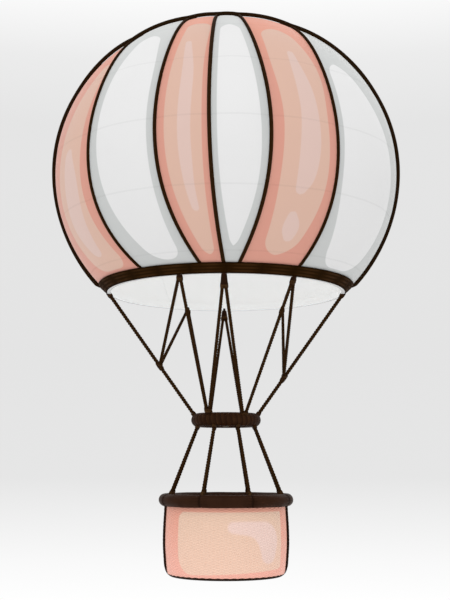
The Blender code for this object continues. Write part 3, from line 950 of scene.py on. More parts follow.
    def place(self, name: str, materials: Sequence[Material], slot: str,
              replaces: Sequence[str] = (), body: Body = Body.AIRFRAME) -> bpy.types.Object:
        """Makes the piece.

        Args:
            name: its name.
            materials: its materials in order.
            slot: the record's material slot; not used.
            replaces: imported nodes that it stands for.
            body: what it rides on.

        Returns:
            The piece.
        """
        mesh = bpy.data.meshes.new(name)
        mesh.from_pydata(np.concatenate(self.points), [], self.faces)
        mesh.polygons.foreach_set("material_index", self.slots)
        for key in sorted({key for values in self.values for key in values}):
            parts = [
                values.get(key, np.zeros(len(points)))
                for values, points in zip(self.values, self.points)
            ]
            layer = mesh.attributes.new(key, "FLOAT", "POINT")
            layer.data.foreach_set("value", np.concatenate(parts).astype(np.float32))
        for material in materials:
            mesh.materials.append(material)
        mesh.shade_smooth()
        mesh.set_sharp_from_angle(angle=SHARP_EDGE)
        made = add_object(name, mesh)
        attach(made, body.value)
        if replaces:
            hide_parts(*replaces)
        LOG.info("%s: %d faces on %s", name, len(self.faces), body.value)
        return made


def circle(points: int, radius: float = 1.0) -> Array:
    """A round section, as (side, up) points."""
    turn = np.arange(points) / points * math.tau
    return radius * np.stack([np.cos(turn), np.sin(turn)], axis=-1)


def level_rings(stations: Sequence[tuple[float, Array]], axis: int, side: float = 1.0,
                height: float = 0.0) -> Array:
    """Sets out sections along a level axis.

    Args:
        stations: how far out each section stands, and its points.
        axis: 0 for X, 1 for Y.
        side: 1 or -1, the way along the axis.
        height: height of the axis.

    Returns:
        Rings of points.
    """
    rings = [np.insert(section, axis, side * far, axis=1) for far, section in stations]
    return np.array(rings) + (0.0, 0.0, height)


def swept(path: Array, section: Array, beside: Triple = UP) -> Array:
    """Carries a section along a path.

    Args:
        path: points of the path.
        section: (side, up) points, one section for all or one for each path point.
        beside: a direction that the path never runs along.

    Returns:
        Rings of points.
    """
    ahead = np.gradient(path, axis=0)
    ahead /= np.linalg.norm(ahead, axis=1, keepdims=True)
    side = np.cross(ahead, beside)
    side /= np.linalg.norm(side, axis=1, keepdims=True)
    up = np.cross(side, ahead)
    section = np.broadcast_to(section, (len(path), *section.shape[-2:]))
    return path[:, None] + section[..., :1] * side[:, None] + section[..., 1:] * up[:, None]


@dataclass
class Assembly:
    """A group of pieces."""

    finishes: Finishes


class Seam(NamedTuple):
    """A seam's azimuth at four stations, and the stripe after it."""

    crown: float
    shoulder: float
    widest: float
    mouth: float
    stripe: Stripe


class Panel(NamedTuple):
    """A gore's paler panel: where it starts and ends, and its margins at five stations; the margins are
    painted shade.
    """

    top: float
    bottom: float
    left: tuple[float, ...]
    right: tuple[float, ...]
    corner: float = 0.15


SEAM_STATIONS = (0.0, 0.30, 0.60, 1.0)
MARGIN_STATIONS = (0.30, 0.45, 0.60, 0.80, 0.96)

# Seams from the left side over the front to the right side
FRONT_SEAMS = (
    Seam(-98.0, -70.0, -79.5, -90.5, Stripe.PEACH),
    Seam(-86.0, -49.7, -46.6, -38.2, Stripe.WHITE),
    Seam(-34.0, -21.4, -21.4, -10.8, Stripe.PEACH),
    Seam(-8.5, -5.4, -5.0, -1.0, Stripe.WHITE),
    Seam(10.7, 9.7, 13.0, 5.4, Stripe.PEACH),
    Seam(57.2, 36.3, 35.1, 31.8, Stripe.WHITE),
    Seam(88.0, 70.0, 79.5, 90.5, Stripe.PEACH),
)

# Paler panels of the front gores, in metres from their seams, and of every back gore; their margins are
# painted shade
FRONT_PANELS = (
    Panel(0.36, 0.99, (0.68, 0.70, 0.71, 0.73, 0.80), (0.05, 0.075, 0.150, 0.215, 0.150), 0.20),
    Panel(0.295, 0.985, (0.40, 0.215, 0.167, 0.230, 0.33), (0.20, 0.12, 0.115, 0.120, 0.165), 0.18),
    Panel(0.25, 0.98, (0.14, 0.125, 0.125, 0.130, 0.145), (0.035, 0.077, 0.09, 0.097, 0.088), 0.12),
    Panel(0.26, 0.97, (0.092, 0.095, 0.095, 0.097, 0.125), (0.12, 0.125, 0.127, 0.112, 0.14), 0.20),
    Panel(0.28, 0.975, (0.13, 0.12, 0.165, 0.158, 0.205), (0.30, 0.115, 0.14, 0.152, 0.255), 0.24),
    Panel(0.40, 0.99, (0.10, 0.11, 0.115, 0.125, 0.283), (1.00, 0.92, 0.79, 0.78, 0.80), 0.25),
)
BACK_PANEL = Panel(0.27, 0.98, (0.15, 0.14, 0.14, 0.14, 0.15), (0.15, 0.14, 0.14, 0.14, 0.15), 0.18)

# Brushed highlights of the peach gores: metres from the left seam, share of the gore, radius
FRONT_STROKES = {
    1: ((Blob(1.02, 0.66, 0.09), Blob(1.15, 0.75, 0.19), Blob(1.15, 0.85, 0.19), Blob(1.16, 0.92, 0.12)),),
    3: ((Blob(0.26, 0.37, 0.04), Blob(0.37, 0.51, 0.078), Blob(0.38, 0.70, 0.082),
         Blob(0.35, 0.80, 0.06), Blob(0.33, 0.85, 0.045)),),
    5: (
        (Blob(0.43, 0.405, 0.045), Blob(0.455, 0.46, 0.075), Blob(0.50, 0.53, 0.11),
         Blob(0.525, 0.60, 0.125), Blob(0.525, 0.69, 0.145), Blob(0.50, 0.76, 0.125),
         Blob(0.455, 0.795, 0.075)),
        (Blob(0.43, 0.865, 0.06), Blob(0.46, 0.895, 0.11), Blob(0.48, 0.92, 0.07)),
    ),
}
BACK_STROKES = ((Blob(0.62, 0.42, 0.05), Blob(0.80, 0.60, 0.12), Blob(0.78, 0.82, 0.07)),)

# The heavy tape over the front shoulder, from the middle outwards
ARCH_AZIMUTHS = (0.0, 13.0, 26.0, 36.0, 46.5, 55.0, 61.0, 69.0, 74.6)
ARCH_SHARES = (0.1150, 0.1205, 0.1380, 0.1600, 0.2000, 0.2500, 0.3000, 0.4000, 0.5000)


class Blend(NamedTuple):
    """Where a heavy tape leaves its arch for the side seam: start, length and delay."""

    start: float
    span: float
    power: float


FRONT_BLEND = Blend(0.36, 0.10, 1.0)
BACK_BLEND = Blend(0.20, 0.26, 1.5)


@dataclass
class Envelope(Assembly):
    """Gores, load tapes, crown ring, and the curve that they all follow."""

    radius: float = 2.428
    crown_height: float = 2.218
    lower_height: float = 2.345
    mouth_drop: float = 1.592
    vent_radius: float = 0.500
    skin: float = 0.010
    bulge_most: float = 0.040
    bulge_half_width: float = 0.60
    bulge_end_power: float = 0.7
    seam_pull: float = 0.0009
    level_cut: float = 0.999
    back_gores: int = 6
    rows: int = 190
    columns_least: int = 16
    columns_per_metre: float = 12.0
    pucker: float = 0.0030
    pucker_pitch: float = 0.105
    pucker_reach: float = 0.055
    billow: float = 0.0010
    tape_half_width: float = 0.025
    tape_flange: float = 0.003
    tape_cord: float = 0.0135
    tape_rows: int = 150
    tape_thin: float = 0.30
    tape_ease: float = 0.0008
    tape_step: float = 0.0003
    arch_half_width: float = 0.036
    arch_cord: float = 0.0265
    arch_start: float = 0.46
    arch_rows: int = 60
    arch_crowding: float = 1.6
    arch_side_rows: int = 100
    arch_lift: float = 0.004
    arch_squash: float = 0.55
    arch_swell: float = 0.012
    ring_radius: float = 0.105
    ring_tube: float = 0.012

    def __post_init__(self) -> None:
        """Works out the curve's ends and the seams."""
        self.top = math.asin(self.vent_radius / self.radius)
        self.bottom = math.acos(-self.mouth_drop / self.lower_height)
        first, right = FRONT_SEAMS[0], FRONT_SEAMS[-1]
        self.closing = Seam(*(azimuth + 360.0 for azimuth in first[:4]), first.stripe)
        self.seams = list(FRONT_SEAMS)
        for number in range(1, self.back_gores):
            share = number / self.back_gores
            spots = [a + (b - a) * share for a, b in zip(right[:4], self.closing[:4])]
            self.seams.append(Seam(*spots, Stripe.WHITE if number % 2 else Stripe.PEACH))
        self.spans = list(zip(self.seams, self.seams[1:] + [self.closing]))

    def curve(self, share: Array) -> tuple[Array, Array, Array, Array]:
        """The meridian and its outward normal.

        Args:
            share: share of the way from the vent's edge to the mouth.

        Returns:
            Radius, height, and the normal's radial and upward parts.
        """
        angle = self.top + (self.bottom - self.top) * np.asarray(share, float)
        half = np.where(angle < math.pi / 2, self.crown_height, self.lower_height)
        radial, upward = half * np.sin(angle), self.radius * np.cos(angle)
        length = np.hypot(radial, upward)
        return self.radius * np.sin(angle), half * np.cos(angle), radial / length, upward / length

    def seam_at(self, seam: Seam, share: Array) -> Array:
        """A seam's azimuth: one cubic through its stations."""
        return np.polyval(np.polyfit(SEAM_STATIONS, seam[:4], 3), share)

    def width(self, left: Seam, right: Seam, share: Array) -> Array:
        """A gore's width from seam to seam."""
        spread = self.seam_at(right, share) - self.seam_at(left, share)
        return np.radians(spread) * self.curve(share)[0]

    def along(self, share: Array) -> Array:
        """Distance along the cloth.

        Args:
            share: share of the way from the vent's edge to the mouth.

        Returns:
            Metres from the vent's edge.
        """
        fine = np.linspace(0.0, 1.0, 600)
        radius, height = self.curve(fine)[:2]
        steps = np.hypot(np.diff(radius), np.diff(height))
        return np.interp(share, fine, np.concatenate([[0.0], np.cumsum(steps)]))

    def bulge(self, width: Array, across: Array, share: Array) -> Array:
        """How far the cloth stands out between its seams.

        Args:
            width: the gore's width.
            across: share of the way over the gore.
            share: share of the way to the mouth.

        Returns:
            The distance, 0 at both seams.
        """
        most = self.bulge_most * width / (width + self.bulge_half_width)
        ends = np.sin(math.pi * np.clip(share, 0.0, 1.0)) ** self.bulge_end_power
        return most * ends * 4.0 * across * (1.0 - across)

    def point(self, azimuth: Array, share: Array, out: Array) -> Array:
        """Points out from the meridian along its normal, but level at the mouth.

        Args:
            azimuth: azimuth in degrees.
            share: share of the way to the mouth.
            out: distance out from the meridian.

        Returns:
            The points.
        """
        radius, height, radial, upward = self.curve(share)
        face = polar(radius + out * radial, azimuth, height + out * upward)
        cut = polar(radius + out / radial, azimuth, height)
        return np.where((share > self.level_cut)[..., None], cut, face)

    def margins(self, panel: Panel, share: Array, lateral: Array, width: Array) -> Array:
        """Distance inside a gore's paler panel, outside which the border is painted shade.

        Args:
            panel: the panel.
            share: share of the way to the mouth.
            lateral: metres from the left seam.
            width: the gore's width.

        Returns:
            The distance, above 0 inside.
        """
        along = self.along(share)
        left = smooth_curve(MARGIN_STATIONS, panel.left, share)
        right = smooth_curve(MARGIN_STATIONS, panel.right, share)
        sides = np.minimum(lateral - left, width - lateral - right)
        ends = np.minimum(along - self.along(panel.top), self.along(panel.bottom) - along)
        return round_corner(sides, ends, panel.corner)

    def gore(self, number: int, left: Seam, right: Seam) -> None:
        """Makes one gore.

        Args:
            number: its number from 1.
            left: its left seam.
            right: its right seam.
        """
        share = np.linspace(0.0, 1.0, self.rows + 1)[:, None]
        radius = self.curve(share)[0]
        pull = np.degrees(self.seam_pull / radius)
        start, end = self.seam_at(left, share) + pull, self.seam_at(right, share) - pull
        width = np.radians(end - start) * radius
        columns = self.columns_least + round(self.columns_per_metre * float(width.max()))
        even = np.linspace(0.0, 1.0, columns + 1)[None, :]
        across = 0.35 * even + 0.65 * (0.5 - 0.5 * np.cos(math.pi * even))
        lateral, along = across * width, self.along(share)
        near = np.minimum(lateral, width - lateral)
        ends = np.sin(math.pi * share) ** self.bulge_end_power
        wave = along / self.pucker_pitch + 0.4 * np.sin(along * 2.3 + number)
        dip = self.pucker * (0.5 - 0.5 * np.cos(math.tau * wave)) * np.exp(-near / self.pucker_reach)
        seam = np.abs((along / PANEL_PITCH) % 1.0 - 0.5) * PANEL_PITCH
        dip = dip + self.billow * np.exp(-((seam / 0.05) ** 2))
        out = self.bulge(width, across, share) - dip * ends
        azimuth = start + (end - start) * across
        panel = FRONT_PANELS[number - 1] if number <= len(FRONT_PANELS) else BACK_PANEL
        # Painted shade outside the panel, painted highlights inside the strokes.
        inner = self.margins(panel, share, lateral, width)
        lit = np.full(inner.shape, -1.0)
        if left.stripe is Stripe.PEACH:
            for blobs in FRONT_STROKES.get(number, BACK_STROKES):
                spots = [Blob(blob.x, float(self.along(blob.y)), blob.radius) for blob in blobs]
                lit = np.maximum(lit, stroke(spots, lateral, along))
        form = Form()
        face, under = (self.point(azimuth, share, out - depth) for depth in (0.0, self.skin))
        form.shell(face, under, share=share, along=along, lateral=lateral, edge=near, inner=inner,
                   highlight=lit)
        name, stripe = f"gore_{number:02d}", left.stripe
        faces = [self.finishes.cloth[stripe], self.finishes.coating[stripe]]
        made = form.place(f"{name}_cloth", faces, f"gore_{stripe.value}", [f"{name}_{stripe.value}"])
        cut = float((np.diff(along[:, 0]) * (width[1:, 0] + width[:-1, 0])).sum() / 2.0)

    def tape_section(self, half: float, cord: float) -> Array:
        """A tape's section: flat edges and a sewn-in cord, underside last.

        Args:
            half: half its width.
            cord: the cord's radius.

        Returns:
            (side, up) points.
        """
        turns = np.radians(np.linspace(202.0, -22.0, 11))
        crest = self.tape_flange + cord * (0.9 + np.sin(turns))
        arc = np.stack([cord * np.cos(turns), crest], axis=-1)
        edge = np.array([[half, 0.0], [half, self.tape_flange], [cord * 1.12, self.tape_flange]])
        mirrored = edge * np.array([-1.0, 1.0])
        under = np.array([[half * 0.5, 0.0], [0.0, 0.0], [-half * 0.5, 0.0]])
        return np.concatenate([mirrored, arc, edge[::-1], under])

    def cloth_out(self, azimuth: Array, share: Array) -> Array:
        """How far the cloth stands out at a place, whichever gore it is on.

        Args:
            azimuth: azimuth in degrees.
            share: share of the way to the mouth.

        Returns:
            The distance.
        """
        out = np.zeros(np.shape(share))
        for left, right in self.spans:
            start, end = self.seam_at(left, share), self.seam_at(right, share)
            across = ((azimuth - start + 180.0) % 360.0 - 180.0) / (end - start)
            here = self.bulge(self.width(left, right, share), np.clip(across, 0.0, 1.0), share)
            out = np.where((across >= 0.0) & (across <= 1.0), here, out)
        return out

    def arch(self, form: Form, back: bool) -> None:
        """Adds the heavy tape up one side seam, round the crown and down the other side.

        Args:
            form: the mesh it joins.
            back: on the back instead of the front.
        """
        rise = np.linspace(0.0, 1.0, self.arch_rows) ** self.arch_crowding
        share = ARCH_SHARES[0] + (self.arch_start - ARCH_SHARES[0]) * rise
        fine = np.linspace(0.0, ARCH_AZIMUTHS[-1], 400)
        away = np.interp(share, smooth_curve(ARCH_AZIMUTHS, ARCH_SHARES, fine), fine)
        blend = BACK_BLEND if back else FRONT_BLEND
        join = np.clip((share - blend.start) / blend.span, 0.0, 1.0) ** blend.power
        join = join**2 * (3.0 - 2.0 * join)
        low = np.linspace(self.arch_start, 1.0, self.arch_side_rows + 1)[1:]
        if back:
            sides = ((self.seams[-1], 180.0 + away), (self.seams[len(FRONT_SEAMS)], 180.0 - away))
        else:
            sides = ((FRONT_SEAMS[0], -away), (FRONT_SEAMS[-1], away))
        halves = []
        for seam, free in sides:
            upper = free + (self.seam_at(seam, share) - free) * join
            halves.append(np.concatenate([upper, self.seam_at(seam, low)]))
        azimuth = np.concatenate([halves[0][:0:-1], halves[1]])
        share = np.concatenate([share, low])
        share = np.concatenate([share[:0:-1], share])
        lift = self.cloth_out(azimuth, share) + self.tape_ease + self.arch_lift
        radius, height, radial, upward = self.curve(share)
        middle = polar(radius + lift * radial, azimuth, height + lift * upward)
        normal = polar(radial, azimuth, upward)
        ahead = np.gradient(middle, axis=0)
        beside = np.cross(ahead, normal)
        beside /= np.linalg.norm(beside, axis=1, keepdims=True)
        section = self.tape_section(self.arch_half_width, self.arch_cord)
        side, up = section[None, :, :1], section[None, :, 1:]
        swell = np.clip((1.0 - share) / self.arch_swell, 0.0, 1.0)[:, None, None]
        up = up * (self.arch_squash + (1.0 - self.arch_squash) * swell)
        rings = middle[:, None] + beside[:, None] * side + normal[:, None] * up
        steps = np.linalg.norm(np.diff(middle, axis=0), axis=1)
        along = np.concatenate([[0.0], np.cumsum(steps)])
        form.tube(rings, False, 1, along=along[:, None], across=section[None, :, 0])

    def under_tape(self, number: int, side: Array, share: Array) -> Array:
        """Height of the cloth beside a seam.

        Args:
            number: the seam's number from 0.
            side: distance beside the seam.
            share: share of the way to the mouth.

        Returns:
            The heights, 0 over the crown opening.
        """
        heights = []
        for left, right in self.spans[number - 1], self.spans[number]:
            width = self.width(left, right, np.maximum(share, 0.0))
            heights.append(self.bulge(width, np.abs(side) / width, share))
        return np.where(side < 0.0, *heights) * (share > 0.0)

    def tapes(self) -> None:
        """Makes the load tapes, the two arches over them, and the crown ring."""
        form = Form()
        section = self.tape_section(self.tape_half_width, self.tape_cord)
        inner = (math.asin(self.ring_radius / self.radius) - self.top) / (self.bottom - self.top)
        over_vent, over_cloth = np.linspace(inner, -0.004, 8), np.linspace(0.0, 1.0, self.tape_rows)
        share = np.concatenate([over_vent, over_cloth])[:, None]
        side, up = section[None, :, 0], section[None, :, 1]
        cord = np.clip(self.tape_thin + (share + 0.02) * 18.0, self.tape_thin, 1.0)
        rise = np.where(up > self.tape_flange, self.tape_flange + (up - self.tape_flange) * cord, up)
        along = self.along(share) + np.minimum(share, 0.0)
        for number, seam in enumerate(self.seams):
            azimuth = self.seam_at(seam, np.maximum(share, 0.0))
            out = rise + self.under_tape(number, side, share) + self.tape_ease + number * self.tape_step
            face = self.point(azimuth, share, out)
            form.tube(face + polar(1.0, azimuth + 90.0, 0.0) * side[..., None], along=along, across=side)
        self.arch(form, False)
        self.arch(form, True)
        faces = [self.finishes.webbing, self.finishes.arch]
        form.place("load_tape_web", faces, "load_tape", ["load_tapes"])
        ring = Form()
        level = float(self.curve(inner)[1]) + self.tape_flange
        ring.turned(circle(20, self.ring_tube) + (self.ring_radius, level), 96)
        ring.place("crown_ring", [self.finishes.alloy], "cylinder_metal")

    def build(self) -> None:
        """Makes the envelope."""
        for number, (left, right) in enumerate(self.spans, 1):
            self.gore(number, left, right)
        self.tapes()


@dataclass
class Vent(Assembly):
    """The round cloth lid that closes the crown opening from below."""

    envelope: Envelope
    gap: float = 0.0016
    flat: float = 0.100
    slope_share: float = 1.0 / 14.0
    hole: float = 0.012
    dome: float = 0.016
    shoulder: float = 0.200
    shoulder_drop: float = 0.004
    seams: int = 12
    fold: float = 0.0030
    steps: int = 216
    rows: int = 26

    def build(self) -> None:
        """Makes the lid, a closed disc with a fold along each of its radial seams."""
        low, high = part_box("vent_panel")
        rim = (high.x - low.x) / 2.0
        skin = self.envelope.skin
        edge, below = self.envelope.curve(0.0), self.envelope.curve(self.slope_share)
        slope = float((below[1] - edge[1]) / (below[0] - edge[0]))
        seat = self.envelope.vent_radius - self.flat
        drop = (skin + self.gap) * math.hypot(1.0, slope)

        def sloping(radius: float) -> float:
            """Height of the lid's sloping outer part."""
            return float(edge[1]) + slope * (radius - self.envelope.vent_radius) - drop

        crown = sloping(seat) + self.dome
        places = (0.0, self.shoulder, seat, rim)
        heights = (crown, crown - self.shoulder_drop, sloping(seat), sloping(rim))
        spread = np.linspace(self.hole, rim, self.rows)
        radius = np.concatenate([spread, spread[::-1]])
        top = smooth_curve(places, heights, radius) - np.repeat([0.0, skin], self.rows)
        azimuth = around(self.steps)
        crease = np.abs(np.sin(np.radians(azimuth * self.seams / 2.0))) ** 0.5
        share = np.clip(radius / rim, 0.0, 1.0)
        sink = self.fold * (share * (1.0 - share**6) * 1.6)[:, None] * (1.0 - crease)[None, :]
        points = polar(radius[:, None], azimuth, top[:, None] - sink)
        gore = 360.0 / self.seams
        near = np.radians(np.minimum(azimuth % gore, gore - azimuth % gore)) * radius[:, None]
        below = np.zeros((len(radius) - 1, self.steps), int)
        below[self.rows:] = 1
        form = Form()
        # inner leaves a border of painted shade 5 cm in from the lid's edge; edge sets the coating's painted
        # tape shadows along the seams.
        form.tube(points, False, below, share=0.5, along=radius[:, None], lateral=near,
                  edge=near + 0.022, inner=rim - 0.05 - radius[:, None], highlight=-1.0)
        faces = [self.finishes.cloth[Stripe.WHITE], self.finishes.coating[Stripe.WHITE]]
        made = form.place("vent_cloth", faces, "vent_fabric", ["vent_panel"], Body.VENT)


@dataclass
class MouthBand(Assembly):
    """The padded band round the envelope's mouth: quilted canvas outside, pale lining inside."""

    top: float = -1.5923
    top_outer: float = 1.805
    bottom_outer: float = 1.690
    width: float = 0.066
    height: float = 0.122
    lip: float = 0.010
    steps: int = 576
    quilts: int = 24
    pad: float = 0.0045
    outer_rows: int = 17

    def build(self) -> None:
        """Makes the band."""
        bottom = self.top - self.height
        t = np.linspace(0.0, 1.0, self.outer_rows)
        radius = self.top_outer + (self.bottom_outer + self.lip / 2 - self.top_outer) * t
        height = self.top - self.lip + (bottom + 2 * self.lip - self.top) * t
        channel = np.abs(np.sin(math.pi * 3.0 * t)) ** 0.6
        outer = np.stack([radius, height], axis=-1)
        lower = [(self.bottom_outer - 0.002, bottom + 0.003), (self.bottom_outer - self.lip, bottom)]
        hem = [(self.bottom_outer - self.width + 0.006, bottom)]
        slope = (self.top_outer - self.bottom_outer) / self.height
        rise = self.height * np.linspace(0.04, 0.96, 8)
        lining = np.stack([self.bottom_outer - self.width + slope * rise, bottom + rise], axis=-1)
        upper = [(self.top_outer - self.width, self.top), (self.top_outer - self.lip, self.top)]
        profile = np.array([*outer, *lower, *hem, *lining, *upper])
        puff = np.concatenate([channel, np.zeros(len(profile) - len(channel))])
        azimuth = around(self.steps)
        tuft = np.abs(np.sin(np.radians(azimuth * self.quilts / 2.0))) ** 0.35
        out = self.pad * puff[:, None] * tuft[None, :]
        normal = np.array([self.height, -(self.top_outer - self.bottom_outer)])
        normal /= np.linalg.norm(normal)
        points = polar(profile[:, :1] + out * normal[0], azimuth, profile[:, 1:] + out * normal[1])
        pale = np.zeros((len(profile), self.steps), int)
        first = self.outer_rows + len(lower) - 1
        pale[first] = 1
        pale[first + 1:first + len(lining) + 2] = 2
        form = Form()
        # relief sets the canvas's painted shade, darker where the quilting is stitched down.
        form.tube(points, True, pale, relief=out / self.pad, share=1.0, edge=1.0)
        faces = [self.finishes.band, self.finishes.lining, self.finishes.coating[Stripe.WHITE]]
        made = form.place("mouth_band_padded", faces, "mouth_band", ["mouth_band"])


class Line(NamedTuple):
    """A taut rope's node, its two ends, and where each end's sleeve starts."""

    node: str
    top: Array
    foot: Array
    top_level: float
    foot_level: float


@dataclass
class Rigging(Assembly):
    """Laid ropes, their whipped sleeves, and the splices on the side stays."""

    band_level: float = -1.6943
    rim_level: float = -4.578
    left_splice: float = -2.738
    right_splice: float = -2.907
    leg: float = 0.0250
    stay: float = 0.0285
    basket_rope: float = 0.0225
    sleeve_wall: float = 0.0062
    pitch: float = 0.120
    ring_step: float = 0.0125
    sides: int = 18
    groove: float = 0.74
    lap: float = 0.016
    whipping: float = 0.056
    turns: int = 7
    splice_length: float = 0.110
    splice_radius: float = 0.036

    def ends(self, node: str) -> tuple[Array, Array]:
        """The middles of a rope's two end faces.

        Args:
            node: the rope's node.

        Returns:
            The upper one and the lower one.
        """
        points = np.array([vertex.co[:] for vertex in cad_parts[node].data.vertices])
        along = np.array(UP)
        for _ in range(4):
            reach = points @ along
            top = points[reach > reach.max() - 0.002].mean(axis=0)
            foot = points[reach < reach.min() + 0.002].mean(axis=0)
            along = (top - foot) / np.linalg.norm(top - foot)
        return top, foot

    def lines(self) -> list[Line]:
        """Every rope of the frame.

        Returns:
            The ropes in the order of their names.
        """
        made = []
        for node in sorted(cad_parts):
            high, low = self.band_level, RING_LEVEL
            if node.startswith("basket_rope_"):
                high, low = RING_LEVEL, self.rim_level
            elif node.endswith("left_outer"):
                low = self.left_splice
            elif node.endswith("right_outer"):
                low = self.right_splice
            if node.startswith(("stay_", "leg_", "basket_rope_")):
                made.append(Line(node, *self.ends(node), high, low))
        return made

    def strands(self) -> tuple[Array, Array, Array]:
        """The section of a three-strand rope.

        Returns:
            Angle, radius and place on its strand of each point.
        """
        turn = around(self.sides)
        local = (turn % 120.0) - 60.0 + 60.0 / self.sides * 3.0
        away = 1.0 / (1.0 + 2.0 / math.sqrt(3.0))
        lay = 1.0 - away
        angle = np.radians(local)
        reach = lay * np.cos(angle) + np.sqrt(np.maximum(away**2 - (lay * np.sin(angle)) ** 2, 0.0))
        return np.radians(turn), np.maximum(reach, self.groove), local / 60.0

    def size(self, node: str) -> float:
        """The radius of a node's rope: the two side stays are the heaviest."""
        kinds = {"stay": self.stay, "leg": self.leg, "basket": self.basket_rope}
        return kinds[node.split("_")[0]]

    def lay_rope(self, line: Line) -> None:
        """Makes one rope.

        Args:
            line: the rope.
        """
        ahead = (line.foot - line.top) / np.linalg.norm(line.foot - line.top)
        top, foot = line.top - ahead * self.lap, line.foot + ahead * self.lap
        length = float(np.linalg.norm(foot - top))
        count = max(8, round(length / self.ring_step))
        along = np.linspace(0.0, length, count + 1)
        path = top + along[:, None] * ahead
        turn, reach, local = self.strands()
        reach = reach * self.size(line.node)
        angle = turn + (along * math.tau / self.pitch)[:, None]
        section = np.stack([reach * np.cos(angle), reach * np.sin(angle)], axis=-1)
        form = Form()
        form.tube(swept(path, section, FORWARD), along=along[:, None], strand=local)
        form.place(f"{line.node}_laid", [self.finishes.rope], "rope", [line.node])

    def sleeve_rings(self, form: Form, thread: Form, start: Array, tip: Array, rope: float) -> None:
        """Adds a sleeve from its anchor over the rope's end, with its whipping.

        Args:
            form: the sleeves' mesh.
            thread: the whippings' mesh.
            start: where the sleeve starts.
            tip: where the rope's end is.
            rope: the rope's radius.
        """
        ahead = (tip - start) / np.linalg.norm(tip - start)
        length = float(np.linalg.norm(tip - start))
        sound = max(length - self.whipping, length * 0.5)

        def rings(stations: Profile) -> Array:
            """Circles at (distance, radius) stations."""
            far, size = np.array(stations).T
            return swept(start + ahead * far[:, None], circle(16) * size[:, None, None], FORWARD)

        sleeve = rope + self.sleeve_wall
        body = [(0.0, sleeve), (sound * 0.5, sleeve * 1.03), (sound, sleeve * 0.98)]
        body += [(length - 0.004, rope * 1.14), (length + 0.010, rope * 1.04)]
        form.tube(rings(body), relief=0.4)
        pitch = (length - sound) / self.turns
        coil = []
        for number in range(self.turns):
            here = sound + pitch * number
            size = sleeve * (1.0 - 0.10 * number / self.turns)
            coil += [(here, size * 0.98), (here + pitch * 0.25, size * 1.10)]
            coil += [(here + pitch * 0.70, size * 1.10)]
        thread.tube(rings(coil), strand=0.0, along=np.linspace(0.0, 0.05, len(coil))[:, None])

    def build(self) -> None:
        """Makes the ropes with all their ends."""
        sleeves, threads = Form(), Form()
        for line in self.lines():
            self.lay_rope(line)
            ahead = (line.foot - line.top) / (line.foot[2] - line.top[2])
            rope = self.size(line.node)
            for end, level in ((line.top, line.top_level), (line.foot, line.foot_level)):
                self.sleeve_rings(sleeves, threads, end + ahead * (level - end[2]), end, rope)
            if line.node.startswith("stay_"):
                level = self.left_splice if line.node == "stay_left" else self.right_splice
                self.splice(sleeves, threads, line.top + ahead * (level - line.top[2]), ahead)
        sleeves.place("rope_sleeves", [self.finishes.leather], "rope")
        threads.place("rope_whippings", [self.finishes.thread], "rope")

    def splice(self, form: Form, thread: Form, centre: Array, slope: Array) -> None:
        """Adds a splice's collar, served at both ends.

        Args:
            form: the sleeves' mesh.
            thread: the whippings' mesh.
            centre: its middle.
            slope: the way the stay runs.
        """
        ahead = slope / np.linalg.norm(slope)
        for side in (-1.0, 1.0):
            reach = centre + ahead * side * self.splice_length / 2.0
            self.sleeve_rings(form, thread, centre, reach, self.stay)
        spots = np.linspace(-0.5, 0.5, 9)
        sizes = self.splice_radius * (1.0 + 0.05 * np.cos(math.pi * spots) - 0.25 * np.abs(spots * 2.0) ** 4)
        path = centre + ahead * (spots * self.splice_length * 0.7)[:, None]
        form.tube(swept(path, circle(24) * sizes[:, None, None], FORWARD), relief=0.7)


